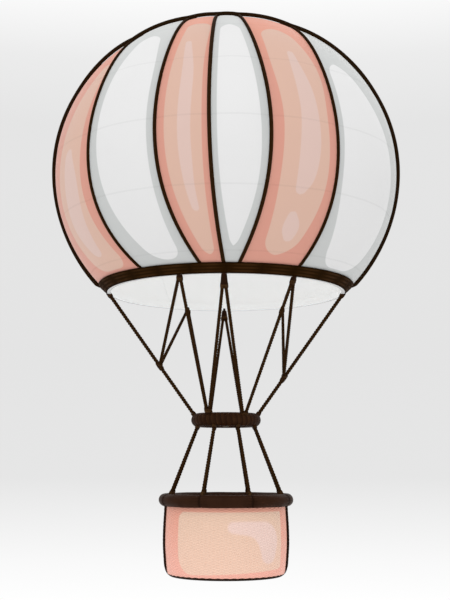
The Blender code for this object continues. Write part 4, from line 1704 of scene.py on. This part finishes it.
@dataclass
class LoadRing(Assembly):
    """The leather-wrapped ring that gathers the ropes, with two yokes for the burner."""

    radius: float = 0.391
    tube: float = 0.095
    wraps: int = 40
    per_wrap: int = 9
    points: int = 36
    lap: float = 0.0026
    yoke_inner: float = 0.236
    yoke_outer: float = 0.330
    yoke_half_width: float = 0.032
    yoke_half_height: float = 0.040
    bore: float = 0.0126
    bolt: float = 0.007
    squareness: float = 7.0
    edge: float = 0.004
    bush: float = 0.0185

    def build(self) -> None:
        """Makes ring and yokes."""
        steps = self.wraps * self.per_wrap
        share = np.arange(steps)[:, None] / steps
        turn = np.arange(self.points) / self.points
        phase = (share * self.wraps + turn) % 1.0
        overlap = np.minimum(phase / 0.22, 1.0) * (1.0 - 0.35 * phase)
        size = self.tube - self.lap + self.lap * overlap
        angle = turn * math.tau
        form = Form()
        # relief sets the leather's painted shade, darkest where each wrap tucks under the next.
        form.tube(hoop(self.radius, RING_LEVEL, size, angle, share * 360.0), True, relief=overlap)
        form.place("load_ring_wrapped", [self.finishes.leather], "ring_leather", ["load_ring"])
        yokes = Form()
        for side in (-1.0, 1.0):
            self.yoke(yokes, side)
        yokes.place("burner_yokes", [self.finishes.steel], "burner_steel")

    def yoke(self, form: Form, side: float) -> None:
        """Adds one bored yoke, its bushing and its bolts.

        Args:
            form: the yokes' mesh.
            side: 1 on +X, -1 on -X.
        """
        unit, inner, outer = circle(48), self.yoke_inner, self.yoke_outer
        size = np.abs(unit / (self.yoke_half_width, self.yoke_half_height)) ** self.squareness
        reach = size.sum(axis=1, keepdims=True) ** (-1.0 / self.squareness)
        hole, full = unit * self.bore, unit * reach
        stations = [(inner, hole), (inner, unit * (reach - self.edge)), (inner + self.edge, full)]
        stations += [(outer, full), (outer, hole)]
        form.tube(level_rings(stations, 0, side, RING_LEVEL), True)
        near, far, proud = inner - 0.004, inner + 0.004, unit * self.bush
        bush = [(near, hole), (near, proud), (far, proud), (far, hole)]
        form.tube(level_rings(bush, 0, side, RING_LEVEL), True)
        for up in (-1.0, 1.0):
            for across in (-1.0, 1.0):
                spot = (side * (inner - 0.002), across * 0.021, RING_LEVEL + up * 0.027)
                form.bolt(spot, (-side, 0.0, 0.0), self.bolt, 0.006)


# Brushed highlight of the basket: metres from the middle of the front, height, radius
BASKET_STROKE = (
    Blob(0.100, -4.925, 0.075), Blob(0.400, -4.955, 0.105), Blob(0.600, -5.060, 0.175),
    Blob(0.625, -5.270, 0.130),
)


@dataclass
class Basket(Assembly):
    """Woven wall, padded rim, leather bindings, boarded floor and runners."""

    base: float = -5.600
    rim_height: float = -4.588
    rim_radius: float = 0.843
    rim_tube: float = 0.085
    wall: float = 0.040
    stakes: int = 96
    per_stake: int = 4
    courses: int = 58
    per_course: int = 3
    bow: float = 0.0030
    cane: float = 0.0026
    # The paler panel on the wall; the wicker round it is painted shade.
    panel_radius: float = 0.83
    panel_left: float = -50.0
    panel_right: float = 62.3
    panel_top: float = -4.728
    panel_low: float = -5.540
    panel_rise: float = 0.066
    binding_height: float = 0.027
    binding_proud: float = 0.008
    side_azimuth: float = 88.0
    side_half_width: float = 0.028
    side_proud: float = 0.038
    rim_panels: int = 8
    rim_steps: int = 576
    rim_sides: int = 40
    seam_dip: float = 0.0050
    pucker_dip: float = 0.0026
    lace_dip: float = 0.0045
    lace_angle: float = math.pi * 1.22
    laces: int = 144
    lace: float = 0.0028
    boards: int = 11
    board_gap: float = 0.003

    def radius_at(self, height: Array) -> Array:
        """Outer radius of the wall.

        Args:
            height: where to read it.

        Returns:
            The radius there.
        """
        above = np.asarray(height, float) - self.base
        places = (0.0, 0.014, 0.050, 0.120, 0.200, 0.420, 0.640, 0.913, 1.022)
        sizes = (0.764, 0.784, 0.799, 0.809, 0.816, 0.830, 0.827, 0.814, 0.814)
        return smooth_curve(places, sizes, above)

    def painted(self, azimuth: Array, height: Array) -> tuple[Array, Array]:
        """Distances inside the paler panel, whose darker surround is painted shade, and inside its painted
        highlight, the same on front and back.

        Args:
            azimuth: azimuth in degrees.
            height: height of each point.

        Returns:
            The two distances.
        """
        turned = (azimuth + 90.0) % 180.0 - 90.0
        sides = np.radians([self.panel_left, self.panel_right]) * self.panel_radius
        arc, (left, right), top = np.radians(turned) * self.panel_radius, sides, self.panel_top
        share = np.clip((arc - left) / (right - left), 0.0, 1.0)
        low = self.panel_low + self.panel_rise * share**1.5
        corner = round_corner(arc - left, height - low, 0.24)
        above = round_corner(arc - left, top - height, 0.11)
        beside = round_corner(right - arc, height - low, 0.05)
        over = round_corner(right - arc, top - height, 0.04)
        inner = np.minimum(np.minimum(corner, above), np.minimum(beside, over))
        return inner, stroke(BASKET_STROKE, arc, height)

    def weave(self) -> None:
        """Makes the wall: stakes with canes woven over and under them."""
        top = self.rim_height - self.rim_tube * 0.55
        steps, rows = self.stakes * self.per_stake, self.courses * self.per_course
        azimuth, stake = around(steps), math.pi * np.arange(steps) / self.per_stake
        row = np.arange(rows + 1)[:, None]
        height = self.base + 0.004 + (top - self.base - 0.004) * row / rows
        course = row // self.per_course
        phase = (row % self.per_course) / self.per_course
        over = np.cos(stake + math.pi * course)
        swell = np.sin(math.pi * phase)
        relief = self.bow * over * (0.35 + 0.65 * swell) + self.cane * swell
        outer = polar(self.radius_at(height) + relief, azimuth, height)
        inner, lit = self.painted(azimuth, height)
        inner_rows = np.concatenate([row[::3][:-1], row[-1:]])
        inside = height[inner_rows[:, 0]][::-1]
        depth = self.wall + self.bow * 0.6 * np.cos(stake)
        inner_face = polar(self.radius_at(inside) - depth, azimuth, inside)

        def whole(outside: Array, plain: float) -> Array:
            """Adds one plain value for all inner rows."""
            return np.concatenate([outside, np.full((len(inside), steps), plain)])

        form = Form()
        # relief marks where each cane passes over or under a stake and sets the wicker's painted shade.
        form.tube(np.concatenate([outer, inner_face]), True, inner=whole(inner, -1.0),
                  highlight=whole(lit, -1.0), relief=whole(0.5 + 0.5 * over * swell, 0.5))
        # Wicker colours: panel top and low, border of painted shade, its lighter painted-light tone at the
        # base, painted highlight.
        wicker = Wicker(
            "basket_wicker", "#ecc9b2", "#f6cfb9", "#eca791", "#fbbaa8", "#f2d3c8", self.base, 0.93
        ).material()
        form.place("basket_wicker_wall", [wicker], "wicker", ["basket_wall"])

    def bindings(self) -> None:
        """Makes the leather binding under the wall and one up each side."""
        form = Form()
        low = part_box("runner_1")[0].z
        level = self.base + np.array([self.binding_height, 0.025, 0.019, 0.011, 0.004, 0.0])
        outer = self.radius_at(level) + self.binding_proud
        outer[0] += 0.002 - self.binding_proud
        level[0] += 0.003
        inner = float(self.radius_at(self.base)) - self.wall
        section = [*zip(outer, level), (outer[-1] - 0.010, low + 0.001), (inner - 0.004, low + 0.001)]
        section += [(inner - 0.007, self.base + 0.010), (inner + 0.004, self.base + 0.014)]
        form.turned(section, 288, relief=0.6)
        top = self.rim_height - self.rim_tube * 0.5
        level = np.linspace(top, self.base + 0.012, 60)
        turns = np.radians(np.linspace(0.0, 180.0, 9))
        across = self.side_half_width * np.cos(turns)
        proud = self.side_proud * np.sin(turns) ** 0.7
        tail = np.clip((level - level[-1]) / 0.12, 0.0, 1.0) ** 0.5 * 0.75 + 0.25
        for side in (-1.0, 1.0):
            azimuth = side * self.side_azimuth
            lace = 1.0 - 0.06 * np.abs(np.sin(math.pi * (level - top) / 0.045)) ** 8
            rise = (proud[None, :] + 0.006) * (lace * tail)[:, None]
            radius = self.radius_at(level)[:, None] - 0.006 + rise
            points = polar(radius, azimuth, level[:, None])
            beside = polar(1.0, azimuth + 90.0, 0.0)
            points = points + beside * across[:, None]
            under = polar(self.radius_at(level) - 0.010, azimuth, level)[:, None]
            under = under + beside * (across[::-1][2:-2:2] * 0.9)[:, None]
            form.tube(np.concatenate([points, under], axis=1), relief=0.6)
        form.place("basket_binding", [self.finishes.trim], "rim_leather")

    def rim(self) -> None:
        """Makes the padded rim: sewn leather panels over a roll, laced underneath."""
        azimuth = around(self.rim_steps)[:, None]
        angle = np.radians(around(self.rim_sides))
        spread = 360.0 / self.rim_panels
        seam = np.abs((azimuth / spread) % 1.0 - 0.5) * spread
        arc = np.radians(seam) * self.rim_radius
        sewn = np.exp(-((arc / 0.010) ** 2))
        pucker = np.exp(-arc / 0.06) * (0.5 + 0.5 * np.cos(angle * 14.0))
        fold = np.minimum(np.abs(angle - self.lace_angle), 1.0)
        laced = np.exp(-((fold * self.rim_tube / 0.007) ** 2))
        sag = 0.0016 * np.sin(np.radians(azimuth * 11.0)) * np.sin(angle * 2.0 + 0.6)
        dips = self.seam_dip * sewn + self.pucker_dip * pucker + self.lace_dip * laced
        size = self.rim_tube - dips + sag
        form = Form()
        roll = hoop(self.rim_radius, self.rim_height, size, angle, azimuth)
        # relief sets the leather's painted shade, darker in the seams, puckers and lacing.
        form.tube(roll, True, relief=np.clip(1.0 - sewn - 0.5 * pucker - laced, 0.0, 1.0))
        made = form.place("basket_rim_padded", [self.finishes.trim], "rim_leather", ["basket_rim"])
        lace = Form()
        tilt = self.lace_angle + np.array([-0.11, -0.08, 0.0, 0.08, 0.11])
        reach = self.rim_tube + np.array([-0.004, 0.0015, 0.0022, 0.0015, -0.004])
        for start in around(self.laces):
            spots = start + np.array([-0.5, -0.35, 0.0, 0.35, 0.5])
            path = hoop(self.rim_radius, self.rim_height, reach, tilt, spots)
            lace.tube(swept(path, circle(10, self.lace)), strand=0.0, along=0.0)
        lace.place("rim_lacing", [self.finishes.thread], "rim_leather")

    def boards_and_runners(self) -> None:
        """Makes the floor's boards and the runners under them."""
        low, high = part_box("basket_floor")
        disc = (high.x - low.x) / 2.0
        form = Form()
        pitch = 2.0 * disc / self.boards
        for number in range(self.boards):
            near = -disc + pitch * number + self.board_gap / 2.0
            far = near + pitch - self.board_gap
            sides = np.clip(np.linspace(near, far, 9), -disc * 0.999, disc * 0.999)
            reach = np.sqrt(disc**2 - sides**2)
            line = np.concatenate([np.stack([reach, sides], -1), np.stack([-reach, sides], -1)[::-1]])
            middle = line.mean(axis=0)
            rings = []
            for level, inset in ((low.z, 0.0), (high.z - 0.002, 0.0), (high.z, 0.002)):
                shrunk = line - np.sign(line - middle) * inset
                rings.append(np.column_stack([shrunk, np.full(len(line), level)]))
            form.tube(np.array(rings), board=(number * 0.37) % 1.0)
        for offset in (-0.34, 0.0, 0.34):
            for number in range(self.boards):
                across = -disc + pitch * (number + 0.5)
                reach = math.sqrt(max(disc**2 - across**2, 0.0))
                for x in (-0.55, 0.0, 0.55):
                    if abs(x) < reach - 0.03 and abs(across - offset) < pitch / 2.0:
                        form.bolt((x, across, high.z), UP, 0.008, 0.003)
        form.place("floor_boards_laid", [self.finishes.timber], "floor_timber", ["basket_floor"])
        for number in (1, 2, 3):
            node = f"runner_{number}"
            bottom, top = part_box(node)
            runner = Form()
            runner.block(bottom, top, 0.005, board=number * 0.3)
            for x in (-0.62, -0.31, 0.0, 0.31, 0.62):
                if abs(x) < top.x - 0.04:
                    spot = (x, (bottom.y + top.y) / 2.0, bottom.z + 0.0008)
                    runner.bolt(spot, DOWN, 0.009, 0.0016)
            runner.place(f"{node}_planed", [self.finishes.runner], "runner_timber", [node])

    def build(self) -> None:
        """Makes the basket."""
        self.weave()
        self.bindings()
        self.rim()
        self.boards_and_runners()


@dataclass
class Burner(Assembly):
    """Can on trunnions, vaporising coil, and the brass base with its jets and valve."""

    can: float = 0.150
    wall: float = 0.007
    half: float = 0.075
    boss: float = 0.024
    boss_end: float = 0.180
    pin: float = 0.012
    pin_end: float = 0.276
    coil: float = 0.1300
    coil_inner: float = 0.112
    coil_brace: float = 0.121
    coil_tube: float = 0.0078
    coil_turns: int = 5
    coil_half: float = 0.054
    plate: float = 0.010
    jets: int = 20
    jet_ring: float = 0.078
    valve: float = 0.046
    valve_height: float = 0.018
    inlet: float = 0.008
    inlet_reach: float = 0.115

    def can_piece(self) -> None:
        """Makes the can with rolled lips, ribs, bosses and pins."""
        z, half, can, inner = RING_LEVEL, self.half, self.can, self.can - self.wall
        profile = [(can, half - 0.006), (can - 0.001, half - 0.001), (can - 0.0035, half)]
        profile += [(inner, half - 0.003), (inner, -half + 0.003), (can - 0.0035, -half)]
        profile += [(can - 0.001, -half + 0.001), (can, -half + 0.006)]
        for height in (-0.045, 0.045):
            for step in np.linspace(-1.0, 1.0, 7):
                profile.append((can - 0.0026 * (1.0 - step**2) ** 0.5, height + step * 0.004))
        form = Form()
        heat = np.clip((np.array(profile)[:, 1:] + half) / (2.0 * half), 0.0, 1.0)
        form.turned(profile, 120, True, (0.0, 0.0, z), heat=heat)
        for side in (-1.0, 1.0):
            stations = [(inner + 0.002, self.boss), (self.boss_end - 0.003, self.boss)]
            stations += [(self.boss_end, self.boss - 0.003), (self.boss_end, self.pin)]
            stations += [(self.pin_end - 0.0015, self.pin), (self.pin_end, self.pin - 0.0015)]
            sections = [(x, circle(32, size)) for x, size in stations]
            form.tube(level_rings(sections, 0, side, z), heat=0.1)
            for angle in np.radians(CORNERS):
                spot = (side * (can + 0.0015), 0.033 * math.cos(angle), z + 0.033 * math.sin(angle))
                form.bolt(spot, (side, 0.0, 0.0), 0.0055, 0.005)
        form.place("burner_can_rolled", [self.finishes.steel], "burner_steel", ["burner_can"], Body.BURNER)

    def coil_piece(self) -> None:
        """Makes the coil of tube that the flame heats, in two layers."""
        form = Form()
        unit = circle(14, self.coil_tube)
        steps = np.linspace(0.0, 1.0, self.coil_turns * 40 + 1)
        azimuth = steps * self.coil_turns * 360.0
        height = RING_LEVEL - self.coil_half + 2.0 * self.coil_half * steps
        for path in polar(self.coil, azimuth, height), polar(self.coil_inner, azimuth * 0.8, height):
            form.tube(swept(path, unit), heat=steps[:, None])
        size = np.array([0.020, 0.0022, self.coil_half + 0.006])
        for corner in CORNERS:
            bm = bmesh.new()
            bmesh.ops.create_cube(bm, size=2.0)
            bmesh.ops.scale(bm, vec=size, verts=bm.verts)
            bmesh.ops.bevel(bm, geom=bm.edges[:], offset=0.0008, segments=2, affect="EDGES")
            turned = Matrix.Rotation(math.radians(corner - 90.0), 4, "Z")
            turned.translation = Vector(polar(self.coil_brace, corner, RING_LEVEL))
            form.take(bm, turned, heat=0.6)
        form.place("burner_coil_wound", [self.finishes.tube], "coil_steel", ["burner_coil"], Body.BURNER)

    def base_piece(self) -> None:
        """Makes the base plate, jets, valve block and inlet."""
        form = Form()
        low = RING_LEVEL - self.half
        high = low + self.plate
        fitted = self.can - self.wall - 0.0006
        plate = [(0.010, high), (fitted - 0.002, high), (fitted, high - 0.002), (fitted, low + 0.002)]
        plate += [(fitted - 0.002, low), (0.010, low)]
        form.turned(plate, 96, False)
        form.turned(circle(16, 0.006) + (self.jet_ring, high + 0.006), 96)
        jet = ((0.0042, 0.008), (0.0042, 0.017), (0.0028, 0.020), (0.0012, 0.020), (0.0012, 0.018))
        for spot in polar(self.jet_ring, around(self.jets), high):
            form.turned(jet, 12, False, spot)
        pilot = [(0.020, -0.001), (0.020, 0.012), (0.014, 0.018), (0.014, 0.022)]
        pilot += [(0.010, 0.022), (0.010, 0.016)]
        form.turned(pilot, 40, False, (0.0, 0.0, high))
        for corner in CORNERS:
            path = polar(np.linspace(0.018, self.jet_ring, 6), corner, high + 0.006)
            form.tube(swept(path, circle(12, 0.005)))
        bottom = low - self.valve_height
        block = [(0.006, low + 0.001), (self.valve, low + 0.001), (self.valve, bottom + 0.002)]
        block += [(self.valve - 0.002, bottom), (0.006, bottom)]
        form.turned(block, 64, False)
        for spot in polar(self.valve - 0.009, around(6) + 30.0, bottom):
            form.bolt(spot, DOWN, 0.0048, 0.004)
        stations = [(0.030, self.inlet), (0.062, self.inlet), (0.063, 0.0088), (0.078, 0.0088)]
        stations += [(0.079, 0.0066), (self.inlet_reach - 0.014, 0.0066), (self.inlet_reach - 0.012, 0.0080)]
        stations += [(self.inlet_reach - 0.001, 0.0080), (self.inlet_reach, 0.0070)]
        sections = [(y, circle(20, size)) for y, size in stations]
        form.tube(level_rings(sections, 1, 1.0, low - self.valve_height / 2.0))
        form.place("burner_base_jets", [self.finishes.brass], "burner_brass", ["burner_base"], Body.BURNER)

    def build(self) -> None:
        """Makes the burner."""
        self.can_piece()
        self.coil_piece()
        self.base_piece()


@dataclass
class FuelCylinder(Assembly):
    """A welded alloy cylinder with straps, and the guarded valve on top of it."""

    side: str
    dome: float = 0.075
    foot: float = 0.120
    guard: float = 0.085
    guard_wall: float = 0.005
    strap: float = 0.024
    wheel: float = 0.064

    def build(self) -> None:
        """Makes cylinder, straps and valve."""
        node = f"fuel_cylinder_{self.side}"
        low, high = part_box(node)
        foot = np.array([(low.x + high.x) / 2.0, (low.y + high.y) / 2.0, low.z])
        radius, height = (high.x - low.x) / 2.0, high.z - low.z
        shell = [(0.004, height)]
        for turn in np.radians(np.linspace(12.0, 90.0, 12)):
            shell.append((radius * math.sin(turn), height - self.dome * (1.0 - math.cos(turn))))
        weld, proud = height / 2.0, radius + 0.0022
        shell += [(radius, weld + 0.007), (proud, weld + 0.003), (proud, weld - 0.003)]
        shell += [(radius, weld - 0.007)]
        for turn in np.radians(np.linspace(90.0, 20.0, 9)):
            shell.append((radius * math.sin(turn), self.dome * (1.0 - 0.9 * math.cos(turn))))
        shell.append((0.004, self.dome * 0.16))
        form = Form()
        form.turned(shell, 96, False, foot)
        inner = self.foot - 0.004
        form.turned(((self.foot, 0.0), (self.foot, 0.046), (inner, 0.046), (inner, 0.0)), 96, True, foot)
        form.place(f"{node}_welded", [self.finishes.alloy], "cylinder_metal", [node])
        straps = Form()
        for share in (0.28, 0.72):
            under, over = height * share - self.strap / 2.0, height * share + self.strap / 2.0
            band = [(radius - 0.001, under), (radius + 0.003, under + 0.001)]
            band += [(radius + 0.003, over - 0.001), (radius - 0.001, over)]
            straps.turned(band, 96, True, foot, relief=0.7)
            bottom, top = (-0.020, -radius - 0.009, under - 0.004), (0.020, -radius + 0.001, over + 0.004)
            straps.block(foot + bottom, foot + top, 0.002, relief=1.0)
        straps.place(f"cylinder_straps_{self.side}", [self.finishes.trim], "rim_leather")
        self.valve(foot[:2])

    def valve(self, centre: Array) -> None:
        """Makes the guard with its windows, the spindle and the handwheel.

        Args:
            centre: x and y of the cylinder's axis.
        """
        node = f"valve_collar_{self.side}"
        low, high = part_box(node)
        foot = np.array([*centre, low.z])
        outer, wall, top = self.guard, self.guard_wall, high.z - low.z - self.guard_wall
        form = Form()
        base = [(0.010, 0.0), (outer - 0.001, 0.0), (outer, 0.001), (outer, 0.026)]
        base += [(outer - wall, 0.026), (outer - wall, wall), (0.010, wall)]
        form.turned(base, 80, False, foot)
        form.turned(circle(14, wall) + (outer - wall / 2.0, top), 80, True, foot)
        level = np.linspace(0.022, top, 5)[:, None]
        for corner in CORNERS:
            azimuth = corner + np.linspace(-17.0, 17.0, 9)
            form.shell(polar(outer, azimuth, level) + foot, polar(outer - wall, azimuth, level) + foot)
        stem = [(0.016, 0.003), (0.016, 0.030), (0.012, 0.034), (0.012, 0.050), (0.007, 0.053)]
        stem += [(0.007, 0.072), (0.004, 0.074)]
        form.turned(stem, 32, False, foot)
        azimuth = around(120)[:, None]
        grip = 0.030 + 0.0016 * np.cos(np.radians(azimuth * 10.0))
        form.tube(hoop(grip, self.wheel, 0.0048, np.radians(around(12)), azimuth) + foot, True)
        for spoke in around(5):
            path = polar(np.linspace(0.004, 0.029, 5), spoke, self.wheel) + foot
            form.tube(swept(path, circle(12) * (0.0036, 0.0022)))
        form.place(f"valve_guard_{self.side}", [self.finishes.collar], "collar_metal", [node])


# Tones of the backdrop, from low to high
HORIZON = (
    (-0.120, "#ffffff"), (-0.084, "#f9f9f9"), (-0.010, "#e6e6e6"), (0.100, "#e4e4e4"),
    (0.309, "#e5e5e5"), (0.366, "#ececec"), (0.415, "#fbfbfb"),
)


@dataclass
class Studio:
    """Camera, pale floor and soft light."""

    eye: Triple = (-0.014, -15.0, -4.129)
    tilt: float = 98.835
    lens: float = 42.72
    sensor_height: float = 24.0
    floor_height: float = -8.60
    floor_radius: float = 40.0
    floor_clear: float = 4.0
    floor_end: float = 15.0
    key: float = 0.55
    softness: float = 40.0

    def camera(self) -> None:
        """Sets up the camera at the photograph's angle."""
        data = bpy.data.cameras.new("camera")
        data.sensor_fit = "VERTICAL"
        data.sensor_height = self.sensor_height
        data.lens = self.lens
        data.clip_end = 200.0
        made = add_object("camera", data)
        made.location = self.eye
        made.rotation_euler = (math.radians(self.tilt), 0.0, 0.0)
        bpy.context.scene.camera = made

    def backdrop(self) -> None:
        """Sets up the pale world, greyer along the horizon."""
        shader = Shader("studio", True)
        bpy.context.scene.world = shader.owner
        place = shader.node("ShaderNodeTexCoord").outputs["Generated"]
        level = shader.node("ShaderNodeSeparateXYZ", None, {0: place}).outputs[2]
        limits = {"Value": level, "From Min": -0.5, "From Max": 0.5}
        share = shader.node("ShaderNodeMapRange", None, limits).outputs[0]
        stops = [(height + 0.5, tone) for height, tone in HORIZON]
        ramp = shader.node("ShaderNodeValToRGB", {"stops": stops}, {0: share})
        light = shader.node("ShaderNodeBackground", None, {0: ramp.outputs[0]})
        shader.node("ShaderNodeOutputWorld", None, {0: light.outputs[0]})

    def floor(self) -> None:
        """Makes the floor, which fades out into the backdrop."""
        bm = bmesh.new()
        bmesh.ops.create_circle(bm, cap_ends=True, segments=96, radius=self.floor_radius)
        mesh = bpy.data.meshes.new("floor")
        bm.to_mesh(mesh)
        bm.free()
        shader = Shader("floor_paper")
        x, y = shader.axes()[:2]
        away = shader.math("SQRT", x * x + y * y)
        mesh.materials.append(shader.surface({
            "Base Color": "#f8f8f8",
            "Roughness": 0.9,
            "Specular IOR Level": 0.1,
            "Alpha": away.fade(self.floor_end, self.floor_clear),
        }))
        made = add_object("floor", mesh)
        made.location = (0.0, 0.0, self.floor_height)

    def lights(self) -> None:
        """Sets up one broad key light and a weak fill."""
        for name, strength, turn in (
            ("key", self.key, (50.0, 0.0, -10.0)),
            ("fill", self.key * 0.3, (60.0, 0.0, 150.0)),
        ):
            data = bpy.data.lights.new(name, "SUN")
            data.energy = strength
            data.angle = math.radians(self.softness)
            add_object(name, data).rotation_euler = [math.radians(angle) for angle in turn]

    def build(self) -> None:
        """Sets up the studio."""
        bpy.context.scene.view_settings.view_transform = "Standard"
        self.camera()
        self.backdrop()
        self.floor()
        self.lights()


def main() -> None:
    """Builds the studio and every piece in order."""
    logging.basicConfig(level=logging.INFO, format="%(name)s %(message)s")
    Studio().build()
    finishes = Finishes()
    envelope = Envelope(finishes)
    envelope.build()
    Vent(finishes, envelope).build()
    MouthBand(finishes).build()
    Rigging(finishes).build()
    LoadRing(finishes).build()
    Basket(finishes).build()
    Burner(finishes).build()
    for side in ("left", "right"):
        FuelCylinder(finishes, side).build()


if __name__ == "__main__":
    main()
